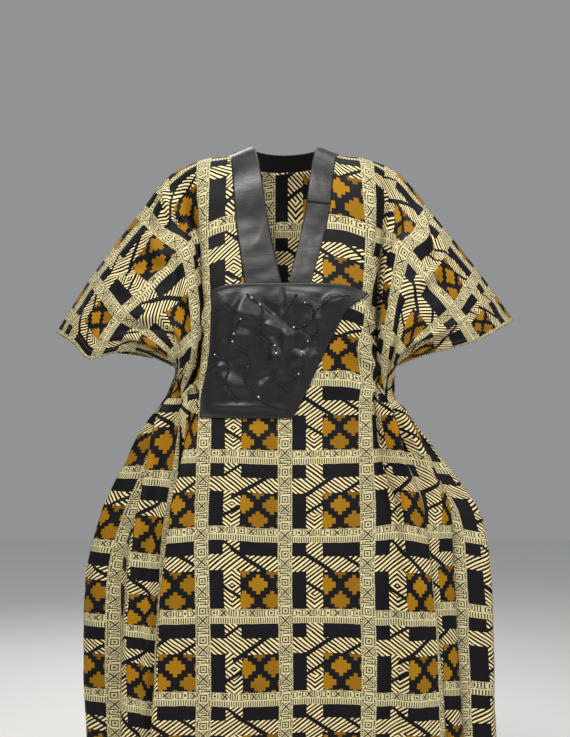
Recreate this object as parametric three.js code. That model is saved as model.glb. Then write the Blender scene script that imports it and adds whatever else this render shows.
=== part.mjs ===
// A wide wax-print kaftan in its worn shape: front and back cut with their sleeves in one,
// a black satin neckband round a deep V, and a black satin panel applied over the waist.
// Millimetres, +Z up, front towards -Y. The origin is between the shoulders, at the height
// of the neck points, where the wearer holds the garment up.
import * as THREE from "three";

// Driving dimensions of the cut.
const HALF_WIDTH = 565; // centre line to the sleeve hem and to the side seam
const OPENING = 400; // shoulder line to underarm along the sleeve hem
const LENGTH = 1440; // shoulder line to hem along the cloth
const NECK_V = 286; // shoulder line to the point of the V and the top of the waist panel
const PANEL_BOTTOM = 519; // shoulder line to the lower edge of the waist panel
const BACK_NECK = 92; // shoulder line to the back panel's edge at the centre of the neck
const COTTON = 2; // wall of the printed cotton
const SATIN = 2; // wall of the satin pieces
const SEAM = 0.3; // between two pieces that are sewn together
const ON_TOP = 0.6; // between the cotton and the satin panel that lies on it

// Places of the cloth's lengthwise threads on the upper body, x, y, z. s is a thread's
// distance from the centre line; the columns are its places on the shoulder line, on the
// chest, under the bust and at the height of the underarm.
const CHEST = 170;
const BUST = 310;
const FRONT_THREADS = [
  { s: 0, shoulder: [0, 0, 34], chest: [0, -98, -140], bust: [0, -128, -278], arm: [0, -126, -368] },
  { s: 100, shoulder: [98, 0, -9], chest: [102, -102, -146], bust: [100, -130, -281], arm: [100, -126, -371] },
  { s: 142, shoulder: [149, 0, -17], chest: [151, -98, -164], bust: [143, -124, -296], arm: [142, -119, -384] },
  { s: 213, shoulder: [211, 0, -46], chest: [172, -66, -174], bust: [158, -72, -318], arm: [160, -84, -404] },
  { s: 284, shoulder: [266, 0, -112], chest: [196, -112, -201], bust: [178, -130, -346], arm: [178, -106, -430] },
  { s: 426, shoulder: [356, 0, -228], chest: [293, -126, -304], bust: [202, -126, -380], arm: [194, -64, -446] },
  { s: 565, shoulder: [422, 0, -326], chest: [336, -120, -366], bust: [190, -90, -404], arm: [198, 0, -456] },
];
const BACK_THREADS = [
  { s: 0, shoulder: [0, 0, 34], chest: [0, 104, -138], bust: [0, 122, -277], arm: [0, 112, -368] },
  { s: 100, shoulder: [98, 0, -9], chest: [102, 102, -143], bust: [100, 120, -281], arm: [100, 110, -371] },
  { s: 142, shoulder: [149, 0, -17], chest: [151, 96, -160], bust: [144, 114, -295], arm: [142, 104, -384] },
  { s: 213, shoulder: [211, 0, -46], chest: [188, 80, -176], bust: [166, 82, -318], arm: [162, 80, -404] },
  { s: 284, shoulder: [266, 0, -112], chest: [218, 106, -206], bust: [188, 120, -348], arm: [180, 98, -430] },
  { s: 426, shoulder: [356, 0, -228], chest: [306, 120, -300], bust: [222, 112, -372], arm: [196, 60, -446] },
  { s: 565, shoulder: [422, 0, -326], chest: [344, 118, -358], bust: [204, 84, -398], arm: [198, 0, -456] },
];

// Rings below the underarm. t is the distance along the cloth from the shoulder line, z the
// height at the centre, left and right the half widths, front and back the depths, turn the
// half width that lies flat across the front before the ring rounds away, and drop how much
// lower the thread hangs at the side seam.
const RINGS = [
  { t: 500, z: -472, left: 244, right: 226, front: 122, back: 108, turn: 150, drop: 66 },
  { t: 590, z: -556, left: 281, right: 284, front: 130, back: 122, turn: 158, drop: 50 },
  { t: 680, z: -645, left: 318, right: 344, front: 140, back: 140, turn: 190, drop: 40 },
  { t: 790, z: -752, left: 342, right: 366, front: 152, back: 160, turn: 215, drop: 34 },
  { t: 940, z: -898, left: 342, right: 374, front: 168, back: 182, turn: 232, drop: 26 },
  { t: 1180, z: -1132, left: 338, right: 384, front: 188, back: 206, turn: 240, drop: 12 },
  { t: 1440, z: -1386, left: 350, right: 396, front: 206, back: 226, turn: 246, drop: 0 },
];

// How the two sleeves differ: how much further out the fold beside the chest lies on the
// chest and under the bust, and the underarm, and how much higher the cuff hangs.
const UNEVEN = {
  left: { chest: -19, bust: -15, underarm: 18, cuff: -11 },
  right: { chest: 16, bust: 8, underarm: -6, cuff: 11 },
};
const SLEEVE_FOLD = 284; // the thread of that fold
const CUFF_WAVE = { t: 190, reach: 120, height: 20 }; // in the left cuff's front edge

// Gathers between the waist panel and the side seams: how deep they are along the cloth.
const GATHER = { from: 150, waves: 3.5 };
const GATHER_DEPTH = [
  { t: 250, depth: 0 },
  { t: 400, depth: 5 },
  { t: 500, depth: 19 },
  { t: 620, depth: 21 },
  { t: 800, depth: 18 },
  { t: 1100, depth: 17 },
  { t: 1440, depth: 22 },
];

// Single folds: the thread at its crest where it starts and where it ends, its half width
// across the cloth, how far it stands out, and the stretch of cloth along which it starts,
// is full and ends.
const FOLDS = [
  { on: "front", side: "left", s: 440, toS: 452, width: 110, out: 12, from: 560, full: 800, to: 1500 },
  { on: "front", side: "right", s: 176, toS: 170, width: 60, out: 12, from: 300, full: 380, to: 520 },
  { on: "front", side: "left", s: 250, toS: 210, width: 60, out: 8, from: 20, full: 60, to: 140 },
  { on: "back", side: "left", s: 70, toS: 90, width: 150, out: 18, from: 360, full: 700, to: 1500 },
  { on: "back", side: "right", s: 110, toS: 150, width: 150, out: 22, from: 380, full: 760, to: 1500 },
];

// Laps: folds whose outer side runs back under the crest by "under" of the cloth, and hangs
// lower by "sag" at the shoulder line's end of it, less and less down to the hem.
const LAPS = [
  { on: "front", side: "left", s: 182, toS: 246, width: 120, out: 16, under: 72, sag: 85, from: 420, full: 640 },
  { on: "front", side: "right", s: 250, toS: 300, width: 120, out: 14, under: 50, sag: -36, from: 560, full: 820 },
  { on: "back", side: "left", s: 230, toS: 270, width: 120, out: 16, under: 60, sag: 30, from: 420, full: 700 },
  { on: "back", side: "right", s: 290, toS: 330, width: 120, out: 16, under: 40, sag: 20, from: 440, full: 720 },
];
const LAP_POCKET = 0.7; // depth of the hollow behind a lap, as a share of how far it stands out
const LAP_END = 545; // thread at which a lap has run out

// Edges of the V, from the centre line: where the satin bands start and end on each side.
const BAND_EDGES = [
  { t: 0, leftOuter: 103, leftInner: 66, rightInner: 66, rightOuter: 99 },
  { t: 140, leftOuter: 89, leftInner: 36, rightInner: 39, rightOuter: 79 },
  { t: 285, leftOuter: 70, leftInner: 5, rightInner: 5, rightOuter: 44 },
];
const BAND_LAP = 145; // shoulder line to the end of the back band on the right front

// The two edges of the band at the centre of the back neck: behind and below the neck points.
const BACK_NECK_INNER = { depth: 55, fall: 6 };
const BACK_NECK_OUTER = { depth: 80, fall: 22 };
const NECK_EASE = 70; // stretch of cloth below the neckband that is eased to its edge

// Sides of the waist panel from the centre line; its right edge runs in on the slant. The
// rows above and below the panel only lead the columns of the front panel's wall to them.
const PANEL_EDGES = [
  { t: 0, left: 128, right: 138 },
  { t: 286, left: 128, right: 138 },
  { t: 325, left: 128, right: 108 },
  { t: 362, left: 129, right: 91 },
  { t: 400, left: 130, right: 73 },
  { t: 438, left: 138, right: 54 },
  { t: 478, left: 149, right: 35 },
  { t: 519, left: 150, right: 14 },
  { t: 655, left: 150, right: 138 },
  { t: 1440, left: 150, right: 142 },
];

// Rows of the walls down the cloth, and columns across each half.
const ROWS = [
  0, 14, 32, 55, 82, 112, 145, 180, 216, 252, 286, 325, 362, 400, 438, 478, 519, 560, 605, 655,
  710, 770, 840, 920, 1010, 1110, 1220, 1330, 1440,
];
const FOLDS_START = 156; // the columns beyond this thread run straight down the cloth
const SIDE_COLUMNS = 22; // sleeve hem or side seam to that thread
const LEFT_COLUMNS = 1; // that thread to the waist panel's left edge
const RIGHT_COLUMNS = 4; // that thread to the waist panel's right edge
const CHEST_COLUMNS = 3; // waist panel's edges to the V
const CENTRE_COLUMNS = 5; // below the V

const lerp = THREE.MathUtils.lerp;
const smooth = THREE.MathUtils.smoothstep;
const quarterTurn = (u) => (THREE.MathUtils.clamp(u, -1, 1) * Math.PI) / 2;

// A smooth curve through rows of numbers, at any place of the named column.
function curveThrough(rows, column, at, value) {
  const last = rows.length - 1;
  let i = 0;
  while (i < last - 1 && rows[i + 1][column] < at) i += 1;
  const slope = (k) => {
    const low = Math.max(k - 1, 0);
    const high = Math.min(k + 1, last);
    return (value(rows[high]) - value(rows[low])) / (rows[high][column] - rows[low][column]);
  };
  const span = rows[i + 1][column] - rows[i][column];
  const u = THREE.MathUtils.clamp((at - rows[i][column]) / span, 0, 1);
  const [a, b] = [value(rows[i]), value(rows[i + 1])];
  const [da, db] = [slope(i) * span, slope(i + 1) * span];
  const lift = u * u * (3 - 2 * u);
  return lerp(a, b, lift) + u * (1 - u) * ((1 - u) * da - u * db);
}

function curveOfPlaces(rows, column, at, key) {
  return [0, 1, 2].map((axis) => curveThrough(rows, column, at, (row) => row[key][axis]));
}

// The ring point of a thread: straight across the front, then a quarter ellipse to the side.
function onRing(ring, s, side, face) {
  const v = Math.max(0, (s - ring.turn) / (HALF_WIDTH - ring.turn));
  const x = Math.min(s, ring.turn) + (ring[side] - ring.turn) * Math.sin((v * Math.PI) / 2);
  const y = ring[face] * Math.cos((v * Math.PI) / 2);
  return [x, y, ring.z - ring.drop * v * v];
}

// The smooth cloth without its folds: the place of the thread s at the distance t.
function smoothCloth(face, s, t) {
  const side = s < 0 ? "left" : "right";
  const across = Math.abs(s);
  const threads = face === "front" ? FRONT_THREADS : BACK_THREADS;
  const facing = face === "front" ? -1 : 1;
  const place = (key) => curveOfPlaces(threads, "s", across, key);
  const shoulder = place("shoulder");
  const chest = place("chest");
  const bust = place("bust");
  const arm = place("arm");
  const own = UNEVEN[side];
  const end = (across / HALF_WIDTH) ** 3;
  const besideChest = Math.cos(quarterTurn((across - SLEEVE_FOLD) / SLEEVE_FOLD)) ** 4;
  chest[0] += own.chest * besideChest;
  bust[0] += own.bust * besideChest;
  arm[0] += own.underarm * end;
  shoulder[2] += own.cuff * end;
  chest[2] += own.cuff * end;
  const sleeve = smooth(across, 142, SLEEVE_FOLD);
  const over = (level, depth) => [
    lerp(shoulder[0], chest[0], level),
    lerp(shoulder[1], chest[1], depth),
    lerp(shoulder[2], chest[2], level),
  ];
  const stations = [
    { t: 0, p: shoulder },
    { t: CHEST / 3, p: over(lerp(0.134, 0.27, sleeve), lerp(0.5, 0.44, sleeve)) },
    { t: (CHEST * 2) / 3, p: over(lerp(0.5, 0.62, sleeve), lerp(0.866, 0.78, sleeve)) },
    { t: CHEST, p: chest },
    { t: BUST, p: bust },
    { t: OPENING, p: arm },
  ];
  RINGS.forEach((ring) => {
    const [x, y, z] = onRing(ring, across, side, face);
    stations.push({ t: ring.t, p: [x, facing * y, z] });
  });
  const [x, y, z] = curveOfPlaces(stations, "t", t, "p");
  const wave = face === "front" && side === "left" ? cuffWave(across, t) : 0;
  return new THREE.Vector3(s < 0 ? -x : x, y, z + wave);
}

// The front edge of the left cuff hangs a little, then rises over the arm.
function cuffWave(across, t) {
  const u = (t - CUFF_WAVE.t) / CUFF_WAVE.reach;
  const wave = Math.sin(u * Math.PI) * Math.cos(quarterTurn(u)) ** 2;
  return CUFF_WAVE.height * smooth(across, 400, HALF_WIDTH) * wave;
}

// The direction across the cloth, as a function places it, and the outward direction.
function directions(place, face, s, t) {
  const step = 3;
  const clampS = (v) => THREE.MathUtils.clamp(v, -HALF_WIDTH, HALF_WIDTH);
  const clampT = (v) => THREE.MathUtils.clamp(v, 0, LENGTH);
  const across = place(face, clampS(s + step), t).sub(place(face, clampS(s - step), t)).normalize();
  const along = place(face, s, clampT(t + step)).sub(place(face, s, clampT(t - step))).normalize();
  const out = new THREE.Vector3().crossVectors(across, along).normalize();
  return { across, out: face === "front" ? out.negate() : out };
}

// How far the gathers and folds move the cloth outwards, and which part of the smooth cloth
// it lies on where a lap carries it back under the crest and lets it sag.
function foldsAt(face, s, t) {
  const side = s < 0 ? "left" : "right";
  const across = Math.abs(s);
  const here = (fold) => fold.on === face && fold.side === side;
  const place = { out: 0, s: across, t };
  FOLDS.filter(here).forEach((fold) => {
    const run = THREE.MathUtils.clamp((t - fold.from) / (fold.to - fold.from), 0, 1);
    const u = (across - lerp(fold.s, fold.toS, run)) / fold.width;
    const fade = fold.to < LENGTH ? 1 - smooth(t, lerp(fold.full, fold.to, 0.5), fold.to) : 1;
    place.out += smooth(t, fold.from, fold.full) * fade * fold.out * Math.cos(quarterTurn(u)) ** 2;
  });
  let calm = 1;
  LAPS.filter(here).forEach((lap) => {
    const run = THREE.MathUtils.clamp((t - lap.from) / (LENGTH - lap.from), 0, 1);
    const crest = lerp(lap.s, lap.toS, run);
    const u = (across - crest) / lap.width;
    const strength = smooth(t, lap.from, lap.full);
    const far = strength * (1 - smooth(across, crest + 0.6 * lap.width, LAP_END));
    const turned = smooth(u, 0, 0.55);
    const pocket = far * lerp(1, -LAP_POCKET, smooth(u, 0.02, 0.5));
    place.out += lap.out * (u > 0 ? pocket : strength * Math.cos(quarterTurn(u)) ** 2);
    place.s -= far * lap.under * turned;
    place.t += far * lap.sag * turned * (1 - t / LENGTH);
    calm *= 1 - strength * (1 - smooth(Math.abs(u - 0.3), 0.5, 1.1));
  });
  const gathered = Math.max(0, (across - GATHER.from) / (HALF_WIDTH - GATHER.from));
  const depth = curveThrough(GATHER_DEPTH, "t", Math.max(t, GATHER_DEPTH[0].t), (row) => row.depth);
  const ease = smooth(gathered, 0, 0.12) * (1 - smooth(gathered, 0.86, 1));
  place.out -= depth * ease * calm * Math.sin(gathered * GATHER.waves * 2 * Math.PI);
  place.s *= s < 0 ? -1 : 1;
  return place;
}

// The cloth with its folds, which stand out level from the skirt.
function cloth(face, s, t) {
  const place = foldsAt(face, s, t);
  const { out } = directions(smoothCloth, face, place.s, place.t);
  out.setZ(out.z * (1 - smooth(t, BUST, RINGS[1].t))).normalize();
  return smoothCloth(face, place.s, place.t).addScaledVector(out, place.out);
}

// The middle of a wall and its outward direction at one point of the cloth. On the shoulder
// line and the side seam the direction lies in the seam's own plane, so that two walls meet
// rim to rim, and the point is drawn back by half the seam's gap.
function wallPoint(face, s, t) {
  const point = cloth(face, s, t);
  const { out } = directions(cloth, face, s, t);
  const onSideSeam = Math.abs(s) >= HALF_WIDTH && t >= OPENING;
  if (t <= 0 || onSideSeam) {
    point.y = ((face === "front" ? -1 : 1) * SEAM) / 2;
    out.setY(0).normalize();
  }
  return { point, out };
}

// A closed wall from a grid of wall points. Cells with a missing corner are left open, and
// every free edge gets a rim.
function wall(grid, thickness, lift, flip) {
  const index = new Map();
  const positions = [];
  grid.forEach((row, i) =>
    row.forEach((cell, j) => {
      if (!cell) return;
      index.set(`${i},${j}`, positions.length / 3);
      const outer = cell.point.clone().addScaledVector(cell.out, lift + thickness / 2);
      const inner = cell.point.clone().addScaledVector(cell.out, lift - thickness / 2);
      positions.push(...outer.toArray(), ...inner.toArray());
    }),
  );
  const at = (i, j) => index.get(`${i},${j}`);
  const has = (i, j) => [at(i, j), at(i + 1, j), at(i, j + 1), at(i + 1, j + 1)].every((v) => v !== undefined);
  const faces = [];
  const quad = (a, b, c, d) => (flip ? faces.push(a, c, b, a, d, c) : faces.push(a, b, c, a, c, d));
  const rim = (from, to) => quad(from, from + 1, to + 1, to);
  for (let i = 0; i < grid.length - 1; i += 1) {
    for (let j = 0; j < grid[i].length - 1; j += 1) {
      if (!has(i, j)) continue;
      const [a, b, c, d] = [at(i, j), at(i + 1, j), at(i + 1, j + 1), at(i, j + 1)];
      const falling = grid[i][j].point.distanceTo(grid[i + 1][j + 1].point);
      const rising = grid[i + 1][j].point.distanceTo(grid[i][j + 1].point);
      if (falling <= rising) {
        quad(a, b, c, d);
        quad(c + 1, b + 1, a + 1, d + 1);
      } else {
        quad(b, c, d, a);
        quad(d + 1, c + 1, b + 1, a + 1);
      }
      if (!has(i, j - 1)) rim(a, b);
      if (!has(i + 1, j)) rim(b, c);
      if (!has(i, j + 1)) rim(c, d);
      if (!has(i - 1, j)) rim(d, a);
    }
  }
  const geometry = new THREE.BufferGeometry();
  geometry.setAttribute("position", new THREE.Float32BufferAttribute(positions, 3));
  geometry.setIndex(faces);
  return geometry;
}

const bandEdge = (t, edge) => curveThrough(BAND_EDGES, "t", t, (row) => row[edge]);
const panelEdge = (t, edge) => curveThrough(PANEL_EDGES, "t", t, (row) => row[edge]);

// Evenly spaced places from one value up to, but without, another.
function evenly(from, to, count) {
  return Array.from({ length: count }, (_, i) => lerp(from, to, i / count));
}

// Front panel: two halves beside the V, joined below it. Columns run from the left sleeve
// hem to the right one and follow the edges of the waist panel; the middle ones exist only
// below the V.
function frontGrid() {
  return ROWS.map((t) => {
    const edgeT = Math.min(t, NECK_V);
    const low = smooth(t, NECK_V, PANEL_BOTTOM);
    const left = -bandEdge(edgeT, "leftOuter") - SEAM;
    const right = lerp(bandEdge(edgeT, "rightOuter") + SEAM, -12, low);
    const panelLeft = -panelEdge(t, "left");
    const panelRight = panelEdge(t, "right");
    const row = [
      ...evenly(-HALF_WIDTH, -FOLDS_START, SIDE_COLUMNS),
      ...evenly(-FOLDS_START, panelLeft, LEFT_COLUMNS),
      ...evenly(panelLeft, left, CHEST_COLUMNS),
      ...evenly(left, right, CENTRE_COLUMNS).map((s, j) => (t >= NECK_V || j === 0 ? s : null)),
      ...evenly(right, panelRight, CHEST_COLUMNS),
      ...evenly(panelRight, FOLDS_START, RIGHT_COLUMNS),
      ...evenly(FOLDS_START, HALF_WIDTH, SIDE_COLUMNS),
      HALF_WIDTH,
    ];
    return row.map((s) => (s === null ? null : { s, t, ...wallPoint("front", s, t) }));
  });
}

// The back neck edge follows the satin band: an arc between the two neck points.
function backNeck(angle, edge) {
  const side = angle < 0 ? "left" : "right";
  const neckPoint = smoothCloth("front", bandEdge(0, side + edge), 0);
  const depth = edge === "Outer" ? BACK_NECK_OUTER.depth : BACK_NECK_INNER.depth;
  const fall = edge === "Outer" ? BACK_NECK_OUTER.fall : BACK_NECK_INNER.fall;
  return new THREE.Vector3(
    neckPoint.x * Math.sin(angle),
    depth * Math.cos(angle),
    neckPoint.z - fall * Math.cos(angle),
  );
}

// The outward direction of the neckband behind the neck, which the back panel's edge shares.
function backNeckOut(angle) {
  const along = new THREE.Vector3(Math.cos(angle), -Math.sin(angle), 0);
  const down = backNeck(angle, "Outer").sub(backNeck(angle, "Inner"));
  const out = along.cross(down).normalize();
  return out.z < 0 ? out.negate() : out;
}

// Back panel: one grid across, its rows bent down round the neck.
function backGrid() {
  const neckHalf = (angle) => bandEdge(0, angle < 0 ? "leftOuter" : "rightOuter") + SEAM;
  const sideColumns = SIDE_COLUMNS + CHEST_COLUMNS;
  const side = (s) => ({ s, angle: null });
  const round = evenly(-Math.PI / 2, Math.PI / 2, 2 * CENTRE_COLUMNS).slice(1);
  const columns = [
    ...evenly(-HALF_WIDTH, -neckHalf(-1), sideColumns).map(side),
    side(-neckHalf(-1)),
    ...round.map((angle) => ({ s: neckHalf(angle) * Math.sin(angle), angle })),
    ...evenly(neckHalf(1), HALF_WIDTH, sideColumns).map(side),
    side(HALF_WIDTH),
  ];
  return ROWS.map((rowT) =>
    columns.map(({ s, angle }) => {
      if (angle === null) return { s, t: rowT, ...wallPoint("back", s, rowT) };
      const neckT = BACK_NECK * Math.cos(angle);
      const t = lerp(neckT, LENGTH, rowT / LENGTH);
      const { point, out } = wallPoint("back", s, t);
      const edge = backNeck(angle, "Outer");
      edge.addScaledVector(edge.clone().setZ(0).normalize(), SEAM);
      const away = 1 - smooth(rowT, 0, NECK_EASE);
      point.addScaledVector(edge.sub(cloth("back", s, neckT)), away);
      out.lerp(backNeckOut(angle), away ** 3).normalize();
      return { s, t, point, out };
    }),
  );
}

// The neckband on the front, between its edges, from one distance down the V to another, on
// the front panel's rows, so that the two edges run side by side.
function bandGrid(side, from, to) {
  const across = 3;
  const sign = side === "left" ? -1 : 1;
  const between = ROWS.filter((t) => t > from + 1 && t < to - 1);
  return [from, ...between, to].map((t) => {
    const row = [];
    for (let j = 0; j <= across; j += 1) {
      const s = sign * lerp(bandEdge(t, side + "Inner"), bandEdge(t, side + "Outer"), j / across);
      row.push({ s, t, ...wallPoint("front", s, t) });
    }
    return sign < 0 ? row.reverse() : row;
  });
}

// The back band: round the back of the neck, over the right shoulder and down to the lap.
function backBandGrid() {
  const across = 3;
  const angles = [...evenly(-Math.PI / 2, Math.PI / 2, 2 * CENTRE_COLUMNS)];
  const rows = angles.map((angle, i) => {
    const [inner, outer] = [backNeck(angle, "Inner"), backNeck(angle, "Outer")];
    const out = backNeckOut(angle);
    if (i === 0) {
      [inner, outer].forEach((point) => point.setY(SEAM / 2));
      out.setY(0).normalize();
    }
    const places = [...evenly(0, 1, across), 1];
    return places.map((u) => ({ point: inner.clone().lerp(outer, u), out: out.clone() }));
  });
  return rows.concat(bandGrid("right", 0, BAND_LAP));
}

// The waist panel: the front panel's own points between the panel's edges.
function panelGrid(front) {
  const first = SIDE_COLUMNS + LEFT_COLUMNS;
  const last = first + 2 * CHEST_COLUMNS + CENTRE_COLUMNS;
  return front
    .filter((row) => row[0].t >= NECK_V && row[0].t <= PANEL_BOTTOM)
    .map((row) => row.slice(first, last + 1));
}

const kaftan = new THREE.Group();

function addPiece(name, geometry, colour, roughness) {
  const material = new THREE.MeshStandardMaterial({ color: colour, roughness, metalness: 0 });
  const mesh = new THREE.Mesh(geometry, material);
  mesh.name = name;
  kaftan.add(mesh);
}

const PRINT_COLOUR = 0x8a7434;
const SATIN_COLOUR = 0x2a292d;
const front = frontGrid();

addPiece("front_panel", wall(front, COTTON, 0, false), PRINT_COLOUR, 0.8);
addPiece("back_panel", wall(backGrid(), COTTON, 0, true), PRINT_COLOUR, 0.8);
addPiece("neckband_left", wall(bandGrid("left", 0, NECK_V - SEAM), SATIN, 0, false), SATIN_COLOUR, 0.4);
addPiece(
  "neckband_right",
  wall(bandGrid("right", BAND_LAP + SEAM, NECK_V - SEAM), SATIN, 0, false),
  SATIN_COLOUR,
  0.4,
);
addPiece("neckband_back", wall(backBandGrid(), SATIN, 0, false), SATIN_COLOUR, 0.4);
addPiece(
  "waist_panel",
  wall(panelGrid(front), SATIN, COTTON / 2 + ON_TOP + SATIN / 2, false),
  SATIN_COLOUR,
  0.4,
);

export default kaftan;
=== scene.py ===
"""Wax-print kaftan: printed cotton, satin neckband and waist panel, beads and stitching.

Places on the cloth are given in the flat cut, in millimetres: s across from the centre
line and t down from the shoulder line. Places in the room are in metres, in the frame of
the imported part: +Z up, front towards -Y, origin between the shoulders.
"""

from __future__ import annotations

import logging
import math
from dataclasses import dataclass
from enum import Enum

import bpy
import numpy as np
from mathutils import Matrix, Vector

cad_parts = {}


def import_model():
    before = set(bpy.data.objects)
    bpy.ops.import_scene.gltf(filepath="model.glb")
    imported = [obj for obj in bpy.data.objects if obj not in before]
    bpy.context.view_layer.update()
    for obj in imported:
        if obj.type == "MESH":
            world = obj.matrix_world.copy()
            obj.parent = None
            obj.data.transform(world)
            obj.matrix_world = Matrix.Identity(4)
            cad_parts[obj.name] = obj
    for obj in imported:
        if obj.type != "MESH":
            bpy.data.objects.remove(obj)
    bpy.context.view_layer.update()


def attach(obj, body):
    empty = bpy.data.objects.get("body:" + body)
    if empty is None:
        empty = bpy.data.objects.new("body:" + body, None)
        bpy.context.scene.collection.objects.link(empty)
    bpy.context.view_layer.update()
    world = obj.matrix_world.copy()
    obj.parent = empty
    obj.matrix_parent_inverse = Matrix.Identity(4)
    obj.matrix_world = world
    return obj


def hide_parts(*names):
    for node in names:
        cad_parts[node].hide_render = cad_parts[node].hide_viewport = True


LOG = logging.getLogger("kaftan")
MM = 0.001
HALF_WIDTH = 565.0
OPENING = 400.0
LENGTH = 1440.0
NECK_V = 286.0
PANEL_BOTTOM = 519.0
BACK_NECK = 92.0
BAND_LAP = 145.0
CHEST = 170.0
BUST = 310.0
SEAM = 0.3
HEM = 24.0


class Side(Enum):
    """Which half of the garment a piece of cloth belongs to, with the sign of its depth."""

    FRONT = -1.0
    BACK = 1.0


class Half(Enum):
    """The wearer's right half is at the left, seen from the front."""

    LEFT = -1.0
    RIGHT = 1.0


@dataclass(frozen=True)
class Thread:
    """A lengthwise thread: its distance from the centre line and its places while worn."""

    s: float
    shoulder: tuple[float, float, float]
    chest: tuple[float, float, float]
    bust: tuple[float, float, float]
    arm: tuple[float, float, float]


@dataclass(frozen=True)
class Ring:
    """The skirt's outline at one distance down the cloth."""

    t: float
    z: float
    left: float
    right: float
    front: float
    back: float
    turn: float
    drop: float


@dataclass(frozen=True)
class Fold:
    """A large fold: its crest where it starts and ends, and how far it stands out."""

    side: Side
    half: Half
    s: float
    to_s: float
    width: float
    out: float
    start: float
    full: float
    stop: float


@dataclass(frozen=True)
class Lap:
    """A fold whose one side runs back under the crest and sags: the inner one if width < 0."""

    side: Side
    half: Half
    s: float
    to_s: float
    width: float
    out: float
    under: float
    sag: float
    start: float
    full: float
    end: float = 545.0
    stop: float = 1500.0


@dataclass(frozen=True)
class Pull:
    """A spot of the cut where the crushed cloth is pulled sideways and up or down."""

    side: Side
    s: float
    t: float
    reach_s: float
    reach_t: float
    move_s: float
    move_t: float

    def near(self, s: np.ndarray, t: np.ndarray) -> np.ndarray:
        """How strongly the pull acts, from 0 to 1.

        Args:
            s: places across the cut.
            t: places down the cut.

        Returns:
            The strength at each place.
        """
        return np.exp(-(((s - self.s) / self.reach_s) ** 2) - ((t - self.t) / self.reach_t) ** 2)


@dataclass(frozen=True)
class Uneven:
    """How one sleeve differs from the threads' places, in millimetres."""

    chest: float
    bust: float
    underarm: float
    cuff: float


@dataclass(frozen=True)
class Crease:
    """A soft crease along a bowed line of the cut: a ridge, or a trough where height < 0."""

    side: Side
    start: tuple[float, float]
    end: tuple[float, float]
    bow: float
    width: float
    height: float

    def rise(self, s: np.ndarray, t: np.ndarray) -> np.ndarray:
        """How far the crease lifts the cloth.

        Args:
            s: places across the cut, in millimetres.
            t: places down the cut, in millimetres.

        Returns:
            The lift at each place, in millimetres.
        """
        run = np.subtract(self.end, self.start)
        length = float(np.hypot(*run))
        along = ((s - self.start[0]) * run[0] + (t - self.start[1]) * run[1]) / length**2
        beside = ((s - self.start[0]) * run[1] - (t - self.start[1]) * run[0]) / length
        inside = np.clip(along, 0.0, 1.0)
        off = beside - self.bow * 4.0 * inside * (1.0 - inside)
        off = off - 0.25 * self.width * np.sin(7.0 * inside + self.start[0])
        width = self.width * (0.75 + 0.45 * inside) * np.where(off < 0.0, 0.7, 1.15)
        taper = np.sin(math.pi * inside) ** 0.8
        uneven = 1.0 + 0.25 * np.sin(11.0 * inside + self.start[1])
        return self.height * taper * uneven * np.exp(-((off / width) ** 2))


FRONT_THREADS = (
    Thread(0, (0, 0, 34), (0, -98, -140), (0, -128, -278), (0, -126, -368)),
    Thread(100, (98, 0, -9), (102, -102, -146), (100, -130, -281), (100, -126, -371)),
    Thread(142, (149, 0, -17), (151, -98, -164), (143, -124, -296), (142, -119, -384)),
    Thread(213, (211, 0, -46), (172, -66, -174), (158, -72, -318), (160, -84, -404)),
    Thread(284, (266, 0, -112), (196, -112, -201), (178, -130, -346), (178, -106, -430)),
    Thread(426, (356, 0, -228), (293, -126, -304), (202, -126, -380), (194, -64, -446)),
    Thread(565, (422, 0, -326), (336, -120, -366), (190, -90, -404), (198, 0, -456)),
)
BACK_THREADS = (
    Thread(0, (0, 0, 34), (0, 104, -138), (0, 122, -277), (0, 112, -368)),
    Thread(100, (98, 0, -9), (102, 102, -143), (100, 120, -281), (100, 110, -371)),
    Thread(142, (149, 0, -17), (151, 96, -160), (144, 114, -295), (142, 104, -384)),
    Thread(213, (211, 0, -46), (188, 80, -176), (166, 82, -318), (162, 80, -404)),
    Thread(284, (266, 0, -112), (218, 106, -206), (188, 120, -348), (180, 98, -430)),
    Thread(426, (356, 0, -228), (306, 120, -300), (222, 112, -372), (196, 60, -446)),
    Thread(565, (422, 0, -326), (344, 118, -358), (204, 84, -398), (198, 0, -456)),
)
RINGS = (
    Ring(500, -472, 244, 226, 122, 108, 150, 66),
    Ring(590, -556, 281, 284, 130, 122, 158, 50),
    Ring(680, -645, 318, 344, 140, 140, 190, 40),
    Ring(790, -752, 342, 366, 152, 160, 215, 34),
    Ring(940, -898, 342, 374, 168, 182, 232, 26),
    Ring(1180, -1132, 338, 384, 188, 206, 240, 12),
    Ring(1440, -1386, 350, 396, 206, 226, 246, 0),
)
UNEVEN = {Half.LEFT: Uneven(-19, -15, 18, -11), Half.RIGHT: Uneven(16, 8, -6, 11)}
SLEEVE_FOLD = 284.0
WAVE_T = 190.0
WAVE_REACH = 120.0
WAVE_HEIGHT = 20.0
GATHER_FROM = 150.0
GATHER_WAVES = 3.5
GATHER_DEPTH = np.array(
    [(250, 0), (400, 5), (500, 19), (620, 21), (800, 18), (1100, 17), (1440, 22)], float
)
FOLDS = (
    Fold(Side.FRONT, Half.LEFT, 440, 452, 110, 12, 560, 800, 1500),
    Fold(Side.FRONT, Half.RIGHT, 176, 170, 60, 12, 300, 380, 520),
    Fold(Side.FRONT, Half.LEFT, 250, 210, 60, 8, 20, 60, 140),
    Fold(Side.BACK, Half.LEFT, 70, 90, 150, 18, 360, 700, 1500),
    Fold(Side.BACK, Half.RIGHT, 110, 150, 150, 22, 380, 760, 1500),
)
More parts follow.
